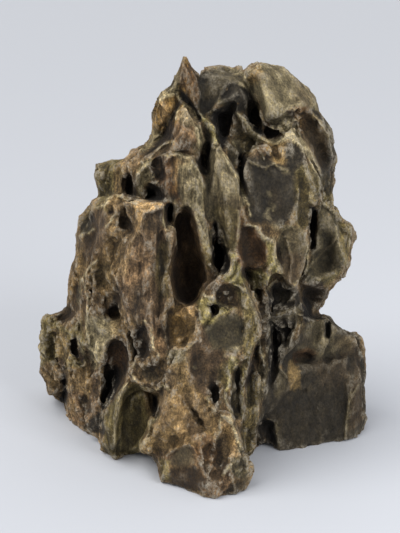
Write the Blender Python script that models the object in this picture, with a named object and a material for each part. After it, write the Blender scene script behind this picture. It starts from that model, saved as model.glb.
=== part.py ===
"""Dragon stone: one weathered lump of layered clay stone, made of upright blades, ledges and
deep oval hollows, standing on the tips of its feet.

The stone is laid out on its show side. Across and up are millimetres on a sheet through the
stone's middle, square to the line from an eye point in front of it and a little above it.
Back is how far behind that middle a spot lies, along +Y. Everything else is in millimetres
in the stone's own frame, +Z up with the ground at 0, and the finished mesh is in metres.
"""

import math

import bmesh
import bpy
import numpy as np
from mathutils import Vector, noise
from mathutils.bvhtree import BVHTree
from mathutils.geometry import delaunay_2d_cdt

MM = 0.001

# The eye point that the show side is laid out from.
EYE_DISTANCE = 800.0
EYE_PITCH = math.radians(18)
MIDDLE_HEIGHT = 130.0

# How finely the stone is worked, and how many triangles are left at the end.
UNION_VOXEL = 1.8
CARVED_VOXEL = 1.3
TRIANGLES = 9500
GROUND_SIZE = 400.0

STONE_COLOUR = (0.19, 0.155, 0.11, 1)
STONE_ROUGHNESS = 0.9

# The plates of the show side: outline on the sheet (across, up), its crest, and in mm
# back: how far behind the middle the crest lies; turn and lean: mm further back for each mm
# to the right and each mm up; crown: how far the rim lies behind the crest; thick: behind the rim.
PLATES = {
    "horn": dict(
        outline=[(-16, 110), (-17.5, 122), (-15, 131), (-11.5, 137), (-5, 134), (-3, 129), (-1, 122),
                 (0, 108), (-1, 98), (-8, 96), (-14, 102)],
        crest=(-9, 120), back=2, crown=6, thick=16, lean=0.1),
    "horn_blade": dict(
        outline=[(-30, 82), (-29.5, 98), (-28, 108), (-26, 113), (-20, 116), (-15, 113), (-12, 104),
                 (-17, 94), (-22, 80)],
        crest=(-24, 100), back=0, crown=7, thick=30, lean=0.1),
    "horn_spur": dict(
        outline=[(-23, 112), (-21.5, 121), (-18.5, 124.5), (-16, 121), (-15, 112)],
        crest=(-19, 117), back=6, crown=4, thick=16),
    "middle_dome": dict(
        outline=[(-3, 92), (-2, 121), (3, 121.5), (5, 126), (9, 127.5), (15, 128.5), (20, 126.5),
                 (25, 126.5), (29, 122.5), (33, 115), (38, 105), (42, 92), (36, 76), (12, 76)],
        crest=(18, 112), back=8, crown=12, thick=34, lean=0.12),
    "top_slab": dict(
        outline=[(29.5, 121), (30.5, 126), (35, 130), (40, 131), (46, 129), (54, 129), (57, 125),
                 (60, 123.5), (65, 121), (71, 114), (75, 108), (77, 99), (82, 94), (85, 88), (84, 84),
                 (87, 71), (85, 64), (74, 62), (60, 66), (48, 76), (42, 88), (41, 97), (38, 106)],
        crest=(52, 106), back=2, crown=11, thick=36, lean=0.15, turn=0.3),
    "right_rim": dict(
        outline=[(72, 96), (78, 98), (83, 93), (85.5, 88), (84, 84), (86.5, 76), (87.5, 69), (85, 65),
                 (84, 54), (85.5, 43), (80, 36), (72, 40), (68, 66)],
        crest=(79, 72), back=20, crown=9, thick=26, turn=0.3),
    "slate_shield": dict(
        outline=[(30, 71), (35, 78), (45, 78), (50, 75), (55, 82.5), (60, 81.5), (66, 78), (72, 70),
                 (77, 61), (77, 50), (77.5, 41), (71, 37), (70, 26), (70.5, 12), (68, 2), (64, -8),
                 (58, -16), (53, -6), (50, 6), (45, 20), (36, 24), (31.5, 38), (29, 52), (28.5, 64)],
        crest=(50, 48), back=-14, crown=8, thick=40, turn=0.25, lean=0.12, flat=0.75),
    "pale_shield": dict(
        outline=[(9, 78), (13, 76.5), (18, 69), (22, 62), (26, 56), (28.5, 49), (31, 40), (26.5, 37),
                 (25, 28), (24, 16), (22.5, 8), (19, 8), (16, 18), (12, 26), (6, 29), (2.5, 40),
                 (2, 52), (5, 61), (7.5, 68)],
        crest=(14, 54), back=-20, crown=8, thick=36, lean=0.16, turn=0.1, flat=0.3),
    "central_column": dict(
        outline=[(-33, 56), (-31, 68), (-25, 72.5), (-16, 74), (-11, 73.5), (-4, 69), (0, 62), (2.5, 52),
                 (2.5, 38), (5, 26), (8, 12), (9, -2), (4, -12), (-4, -30), (-20, -28), (-22, -8), (-18, 12),
                 (-16, 30), (-24, 38), (-33, 42)],
        crest=(-6, 40), back=-22, crown=9, thick=40, lean=0.14, turn=-0.1),
    "tongue": dict(
        outline=[(-17, 73), (-18.5, 80), (-17.5, 90), (-16, 98), (-13, 103), (-9, 106), (-5, 103.5),
                 (-1.5, 97), (1, 90), (3, 83), (3.5, 76), (1, 70), (-8, 68)],
        crest=(-9, 88), back=-13, crown=8, thick=26, lean=0.2),
    "thin_ridge": dict(
        outline=[(-2, 101), (2, 98), (6, 94.5), (10, 91), (12.5, 85), (14, 79), (12, 74), (9, 60),
                 (2, 58), (0, 70), (4, 80), (1, 92)],
        crest=(8, 84), back=-9, crown=7, thick=28),
    "ledge_column": dict(
        outline=[(-49, 42), (-42, 41.5), (-33, 41.5), (-24, 40.5), (-22.5, 30), (-22, 23), (-17, 26),
                 (-17, 12), (-20, 0), (-20, -10), (-17, -22), (-18, -40), (-21, -56), (-30, -62),
                 (-42, -62), (-46, -40), (-56, -6), (-48, 12), (-40, 22)],
        crest=(-31, 8), back=-38, crown=8, thick=40, turn=-0.4, lean=0.06, flat=0.35),
    "pitted_cheek": dict(
        outline=[(-60.5, 40), (-57, 46), (-53, 47.5), (-48, 44), (-40, 34), (-38, 20), (-44, 6),
                 (-52, -4), (-46, -30), (-50, -44), (-64, -44), (-74, -36), (-74, -14), (-72, 2),
                 (-64, 22), (-62, 34)],
        crest=(-54, 20), back=-17, crown=8, thick=44, turn=-0.65, lean=0.04),
    "left_shelf": dict(
        outline=[(-65.5, 42), (-65.5, 52), (-68, 56), (-69, 61), (-67, 65.5), (-60, 67.5), (-57, 68.7),
                 (-50, 68), (-45, 73), (-42, 77), (-38.5, 75.5), (-37, 72.5), (-33, 78), (-29, 84),
                 (-20, 86), (-18, 60), (-28, 38), (-55, 36)],
        crest=(-44, 60), back=4, crown=9, thick=36, turn=-0.45, lean=0.1),
    "left_shoulder": dict(
        outline=[(-78.5, 16), (-78.5, 22), (-77, 31), (-73, 34), (-70.5, 40), (-67, 44), (-60, 46),
                 (-54, 30), (-58, 8), (-70, 2)],
        crest=(-68, 26), back=4, crown=8, thick=36, turn=-0.8),
    "left_flank": dict(
        outline=[(-86.5, -23), (-85.5, -12), (-83.5, -3), (-82, 3), (-79.5, 8), (-78.5, 20), (-66, 24),
                 (-58, 2), (-58, -34), (-74, -42)],
        crest=(-70, -8), back=2, crown=9, thick=44, turn=-0.9),
    "far_wing": dict(
        outline=[(-104, -66), (-101.5, -60), (-101.5, -54), (-103.5, -47), (-102.5, -38), (-100.5, -32.5),
                 (-98, -30.8), (-95, -32), (-89, -30), (-80, -20), (-72, -30), (-72, -66), (-80, -70),
                 (-88, -68), (-90, -79), (-94, -82), (-97, -84.5), (-98.5, -80), (-99, -76), (-102, -72)],
        crest=(-88, -52), back=34, crown=10, thick=36, turn=-0.9),
    "far_foot": dict(
        outline=[(-95, -80), (-92, -92), (-80, -94), (-76, -70), (-88, -62)],
        crest=(-87, -80), back=70, crown=6, thick=26, turn=-0.2),
    "left_leg": dict(
        outline=[(-86, -64), (-85.5, -88), (-85.5, -94), (-83, -100), (-78, -108), (-70, -107),
                 (-66, -97), (-62, -94), (-60, -70), (-56, -46), (-66, -34), (-76, -40)],
        crest=(-72, -70), back=8, crown=10, thick=44, turn=-1.0, lean=-0.25),
    "arch_wall": dict(
        outline=[(-66, -40), (-60, -34), (-44, -34), (-40, -60), (-40, -84), (-50, -100), (-62, -100),
                 (-66, -80)],
        crest=(-52, -60), back=-8, crown=5, thick=44, turn=-0.7, lean=-0.1),
    "mid_leg": dict(
        outline=[(-63, -94), (-61.5, -108), (-62.5, -116), (-61.5, -121), (-57, -126), (-52, -130),
                 (-51, -118), (-51.5, -104), (-48, -88), (-42, -75), (-48, -74), (-54, -84)],
        crest=(-56, -104), back=-19, crown=6, thick=34, turn=-0.5, lean=-0.05),
    "dark_panel": dict(
        outline=[(-54, -120), (-45, -122.5), (-38, -121), (-33, -112), (-30, -98), (-24, -85), (-28, -74),
                 (-44, -72), (-50, -82), (-54, -100)],
        crest=(-42, -98), back=-14, crown=3, thick=40, turn=-0.35, lean=-0.05, flat=0.8),
    "crust_boss": dict(
        outline=[(-46, -72), (-44, -64), (-38, -60), (-30, -56), (-20, -56), (-14, -62), (-16, -74),
                 (-20, -81), (-28, -80), (-34, -78), (-40, -76)],
        crest=(-30, -69), back=-42, crown=6, thick=30, turn=-0.5),
    "apron": dict(
        outline=[(-39, -119), (-38, -114), (-34, -110), (-33, -103), (-31, -98), (-26, -94), (-22, -80),
                 (-24, -60), (-20, -40), (-12, -26), (2, -24), (12, -22), (24, -14), (30, -14), (35, -24),
                 (37.5, -36), (37, -45), (33, -56), (31, -72), (30, -90), (30, -110), (28, -122),
                 (14, -126), (-2, -122), (-18, -120), (-26, -123), (-32, -121)],
        crest=(-4, -70), back=-50, crown=10, thick=52, turn=0.05, lean=0.06, flat=0.45),
    "grey_toe": dict(
        outline=[(-27, -124), (-17, -118), (-9, -115), (-4, -118), (0, -128), (4, -142), (-2, -148),
                 (-14, -144), (-22, -143), (-25, -136)],
        crest=(-12, -127), back=-58, crown=5, thick=40, turn=-0.5, lean=0.15, flat=0.6),
    "toe": dict(
        outline=[(-6, -112), (4, -104), (14, -98), (22, -104), (27, -120), (31, -130), (30.5, -138),
                 (28, -146), (16, -152), (8, -154), (-2, -146), (-6, -130)],
        crest=(12, -130), back=-65, crown=5, thick=46, turn=0.1, lean=0.24, flat=0.55),
    "toe_blade": dict(
        outline=[(11, -112), (13, -98), (17, -95), (21, -100), (25, -110), (27.5, -121), (22, -124),
                 (15, -121)],
        crest=(19, -110), back=-63, crown=5, thick=20, lean=0.25),
    "green_rib": dict(
        outline=[(28, -11), (31.5, -17), (36, -26), (38, -36), (38, -43), (34.5, -52), (32, -60),
                 (29.5, -72), (27.5, -84), (29, -97), (26, -101), (19, -99), (17, -88), (19, -76),
                 (19, -64), (24, -58), (27, -46), (28, -28)],
        crest=(31, -40), back=-44, crown=5, thick=34, turn=0.2),
    "rear_rib": dict(
        outline=[(38.5, -45), (41, -56), (43.5, -62), (44.5, -72), (42, -84), (39, -95), (36.5, -106),
                 (35, -117), (31, -128), (25, -126), (24, -104), (27, -84), (32, -66), (36, -56)],
        crest=(37, -82), back=-22, crown=6, thick=36, turn=0.3, lean=-0.12),
    "neck_rib": dict(
        outline=[(31, -10), (36, -23), (40, -20), (44, -12), (47, -20), (47, -36), (45, -50),
                 (42, -62), (36, -60), (32, -40)],
        crest=(41, -34), back=-17, crown=6, thick=34),
    "neck": dict(
        outline=[(42, -6), (50, -2), (60, 0), (72, -4), (81, -18), (74, -28), (70.5, -33), (70.5, -37),
                 (74, -42), (60, -72), (50, -84), (38, -84), (40, -50), (40, -20)],
        crest=(58, -30), back=4, crown=6, thick=46, turn=0.25, flat=0.3),
    "brown_cup_lobe": dict(
        outline=[(25, 39), (31, 38), (34, 28), (39, 25), (43, 21), (49.5, 15.5), (50, 5), (53, -3.5),
                 (47, -6.5), (42, -12), (34, -13), (26, -2), (21, 8), (23, 20)],
        crest=(38, 6), back=-24, crown=6, thick=36, turn=0.15),
    "mossy_lip": dict(
        outline=[(17, 8), (20, 10), (25, 8), (28, 3), (28, -2), (26, -5), (29, -9), (29.5, -14), (26, -20),
                 (12, -34), (0, -34), (-4, -22), (4, -12), (14, -8)],
        crest=(20, -8), back=-42, crown=5, thick=34, turn=0.1, lean=0.1),
    "bulge": dict(
        outline=[(70, 38), (74, 41), (80, 40), (85, 43), (88.5, 37), (91, 31), (92, 28.7), (97.5, 26),
                 (96.5, 18), (95.5, 10), (95.5, 2), (93, -2), (88, -7.5), (84, -13), (80.5, -19), (81, -22),
                 (76, -26), (71.5, -31), (64, -26), (62, -10), (66, 8), (69, 24)],
        crest=(84, 10), back=10, crown=8, thick=44, turn=0.35, lean=0.05),
    "block": dict(
        outline=[(50, -124), (49, -105), (43, -98), (41, -88), (46, -78), (50.5, -64), (56, -58),
                 (60, -46), (67, -39), (75, -33), (82, -32.3), (87, -36), (91, -41), (95, -44),
                 (100, -45.8), (102, -49), (103.3, -58), (104.5, -68), (103.5, -76), (104.5, -88),
                 (105.5, -100), (104, -112), (95, -118), (85, -120), (70, -123)],
        crest=(76, -80), back=6, crown=4, thick=46, turn=0.42, lean=0.06, flat=0.9),
}

# Upright ribs that make up the stone's back: x, y, foot and top heights, width, thickness,
# turn in degrees, and how far the top leans in x and y.
RIBS = [
    dict(at=(-84, 66), foot=-5, top=66, wide=32, thick=30, turn=30, lean=(6, -4)),
    dict(at=(-66, 58), foot=4, top=128, wide=42, thick=50, turn=20, lean=(18, -8)),
    dict(at=(-62, 30), foot=6, top=150, wide=44, thick=56, turn=10, lean=(14, 4)),
    dict(at=(-30, 40), foot=6, top=196, wide=50, thick=60, turn=0, lean=(10, -6)),
    dict(at=(-44, 72), foot=-5, top=158, wide=40, thick=40, turn=-10, lean=(12, -18)),
    dict(at=(-16, 64), foot=5, top=228, wide=46, thick=50, turn=12, lean=(6, -24)),
    dict(at=(14, 74), foot=-5, top=238, wide=38, thick=36, turn=-15, lean=(4, -22)),
    dict(at=(34, 56), foot=8, top=250, wide=48, thick=50, turn=10, lean=(8, -22)),
    dict(at=(52, 64), foot=3, top=232, wide=38, thick=34, turn=-20, lean=(8, -22)),
    dict(at=(72, 42), foot=116, top=206, wide=32, thick=40, turn=25, lean=(-2, -10)),
    dict(at=(90, 48), foot=-5, top=66, wide=36, thick=38, turn=12, lean=(-12, -4)),
    dict(at=(-10, 10), foot=6, top=228, wide=86, thick=70, turn=0, lean=(18, 8)),
    dict(at=(38, 20), foot=6, top=226, wide=66, thick=60, turn=0, lean=(10, 6)),
    dict(at=(-46, 22), foot=8, top=130, wide=66, thick=56, turn=-20, lean=(10, 8)),
]
RIB_SECTION = [(1.0, 0.0), (0.72, 0.66), (0.1, 0.96), (-0.62, 0.8), (-1.0, 0.1), (-0.7, -0.72),
               (0.0, -1.0), (0.66, -0.78)]
RIB_TAPER = [(0.0, 0.94), (0.3, 1.0), (0.62, 0.9), (0.86, 0.66), (1.0, 0.3)]

# Folds of the show side: how far each line stands out towards the eye (sunk if negative), to be
# multiplied by the gain, and the spots it runs through. The surface between them is nearly flat.
FOLDS = [
    # horn, tongue and the crevices beside them
    (3, [(-11.5, 136), (-9, 125), (-7, 113), (-5, 105)]),
    (2, [(-24, 113), (-26, 100), (-29, 88)]),
    (-4, [(-14, 109), (-20, 95), (-26, 83)]),
    (4, [(-9, 106), (-11, 95), (-8, 82), (-10, 74)]),
    (-6, [(-12, 114), (-5, 104), (0, 97), (1, 88), (2, 76)]),
    (4, [(1, 99), (6, 93), (11, 87), (13.5, 81), (10, 76)]),
    # middle dome and the crevice beside it
    (2, [(6, 98), (10, 106), (14, 110), (22, 118)]),
    (3, [(24, 99), (28, 110), (28, 121)]),
    (-6, [(30, 121), (33, 115), (35, 109), (38, 104), (40, 97)]),
    (2, [(23, 82), (27, 74), (33, 78)]),
    # slab's front ridge, the valley behind it, and the dome
    (6, [(24, 99), (29, 95), (33, 90), (37, 85), (42, 82), (48, 80), (54, 83), (60, 86), (65, 80),
         (70, 76), (73, 70), (76, 65), (78, 60), (77, 50), (80, 40), (87, 34)]),
    (-5, [(31, 103), (36, 96), (41, 91), (48, 91), (56, 93), (62, 92), (69, 86), (76, 77), (80, 69),
          (82, 58), (83, 48)]),
    (4, [(36, 129), (41, 118), (43, 107), (45, 98), (51, 97), (58, 104), (66, 105)]),
    (3, [(71, 101), (78, 93), (83, 86), (85, 76)]),
    # left shelf and arch
    (4, [(-24, 79), (-31, 70.5), (-37.5, 67), (-40, 59.5), (-35, 60.5), (-29, 54)]),
    (3, [(-50, 67), (-53, 47)]),
    (-3, [(-58, 61), (-61, 46)]),
    (2, [(-66, 60), (-65, 48)]),
    # ledge and the purple column under it
    (3, [(-60, 42), (-56, 47), (-49, 45), (-42, 42)]),
    (5, [(-24, 39), (-32, 35), (-37.5, 32), (-38.5, 27), (-40, 19), (-47, 17), (-47.5, 7), (-57, -5),
         (-51, -14), (-48, -28), (-46.5, -39)]),
    (-5, [(-53, 15), (-56, 1), (-61, -7), (-57, -20), (-52, -32)]),
    (3, [(-28, 34), (-30, 7), (-37, -20), (-39, -38)]),
    (-3, [(-25.5, 25), (-25, -2), (-26, -20)]),
    (6, [(-23.5, 37), (-22.5, 25), (-17.5, 7), (-19.5, -7), (-17, -20.5), (-8.5, -25)]),
    # central column and the pale shield
    (5, [(-24, 66), (-20, 72), (-13, 73), (-5, 69), (1.5, 59), (2, 48), (4, 30), (7, 16), (8, -2),
         (15, -8)]),
    (3, [(-10, 57), (-6, 34), (-1, 16)]),
    (4, [(11.5, 75), (14, 57), (17, 34), (21, 11)]),
    (-3, [(4.5, 57), (5, 40), (9, 28)]),
    (3, [(19, 67), (27, 52), (30, 42), (25, 32), (23, 18)]),
    # left flank
    (5, [(-61, 37), (-62, 25), (-67, 11), (-71, 1), (-74, -7), (-72, -16), (-74, -30), (-74, -41),
         (-71, -53), (-69, -64), (-65, -73), (-67.5, -85), (-71, -99)]),
    (-4, [(-68, 19), (-74, 8), (-78.5, -2), (-79.5, -16), (-81, -27)]),
    # far wing
    (3, [(-97, -32), (-95, -38), (-101, -49), (-98.5, -57), (-92, -64), (-89, -69)]),
    (4, [(-80, -31), (-87, -39), (-88.5, -47), (-85, -57), (-78, -65)]),
    (-4, [(-93, -44), (-94, -54)]),
    # arch hollow, blade and panel
    (5, [(-62, -86), (-63.5, -63), (-60, -49), (-52, -45), (-46.5, -48), (-44.5, -58), (-44, -71)]),
    (6, [(-44, -74), (-50, -80), (-54, -95), (-56, -113), (-58, -125)]),
    (-4, [(-47, -86), (-50, -104), (-51.5, -120)]),
    (1, [(-41, -78), (-43, -104), (-44.5, -121)]),
    (-5, [(-30, -81), (-33, -99), (-37, -107)]),
    # apron, its ridges and grooves
    (5, [(-20, -80), (-25, -91), (-27, -100), (-32, -104), (-33, -109), (-37.5, -116), (-38.5, -121)]),
    (6, [(-19, -56), (-14, -67), (-12, -86), (-15, -104), (-8, -115)]),
    (4, [(-5, -83), (3, -97), (10, -107), (11.5, -112)]),
    (5, [(22, -58), (19, -73), (20, -80), (16.5, -89), (19.5, -96)]),
    (5, [(30, -14), (35, -27), (37.5, -42), (33, -56), (28, -73), (27.5, -97)]),
    (-4, [(24, -68), (23, -85), (22, -97)]),
    (4, [(12.5, -101), (17, -96.5), (22, -104), (26, -115), (27, -123)]),
    (-3, [(17, -104), (20, -117)]),
    (3, [(-3, -118), (-1, -129), (4.5, -140), (11, -147)]),
    (3, [(19, -125), (17, -136), (15.5, -144)]),
    (-3, [(11, -120), (8, -134)]),
    (2, [(-24, -124), (-15, -118), (-8, -116)]),
    (4, [(-3, -38), (-1, -46), (-5.5, -53), (-11, -54), (-20, -54)]),
    (5, [(-33, -26), (-31, -40), (-23.5, -50), (-21, -57)]),
    (4, [(-46, -40), (-43.5, -50), (-43, -62), (-34, -65), (-23, -60)]),
    (4, [(-41, -75), (-32, -78), (-21, -80)]),
    (-2, [(-38, -69), (-28, -70)]),
    # pocket rims in the middle
    (4, [(20, 8), (24, 8), (27, 4), (26, -3), (21, -10), (25, -13), (29, -13)]),
    (3, [(3, -22), (8, -22), (13, -26), (20, -28)]),
    # slate shield and the second face
    (2, [(30, 52), (33, 31), (38, 27), (47, 27), (55, 26)]),
    (4, [(63, 58), (63.5, 40), (61, 30), (64, 20), (70.5, 10), (70, 0), (65, -10), (58.5, -16),
         (53.5, -10)]),
    (-3, [(56, 22), (55, 8), (57, -4)]),
    (4, [(37, 26), (40.5, 20), (47, 15.5), (49, 5), (52, -4)]),
    # right bulge and its underside
    (4, [(76, 39), (87, 31), (89, 21), (91.5, 5), (94, 0)]),
    (5, [(66, -11), (73, -10), (83, -7), (93, 0)]),
    (-4, [(78, 8), (80, 0)]),
    (-8, [(68, -20), (74, -22), (78, -22)]),
    # neck and ribs
    (-5, [(46, -16), (48, -20), (46.5, -32), (46, -44)]),
    (4, [(49.5, -32), (55, -29.5), (63, -28), (66.5, -36)]),
    (-5, [(32, -6), (38, -22), (41, -39)]),
    (4, [(42, -15), (43.5, -27), (44.5, -43), (41, -58)]),
    (-5, [(36, -50), (32, -64), (29, -80)]),
    (4, [(40, -60), (43, -73), (40, -90), (37, -108)]),
    # block
    (2, [(52, -62), (60, -49), (68, -41), (76, -36), (84, -36), (92, -43), (100, -47)]),
    (3, [(99, -78), (96.5, -92), (95, -106)]),
    (0, [(56, -70), (56, -100), (86, -104), (88, -66), (56, -70)]),
    (-4, [(60, -57), (72, -58)]),
]
FOLD_GAIN = 1.5
FOLD_ANCHORS = 14.0
FOLD_REACH = 8.0

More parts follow.
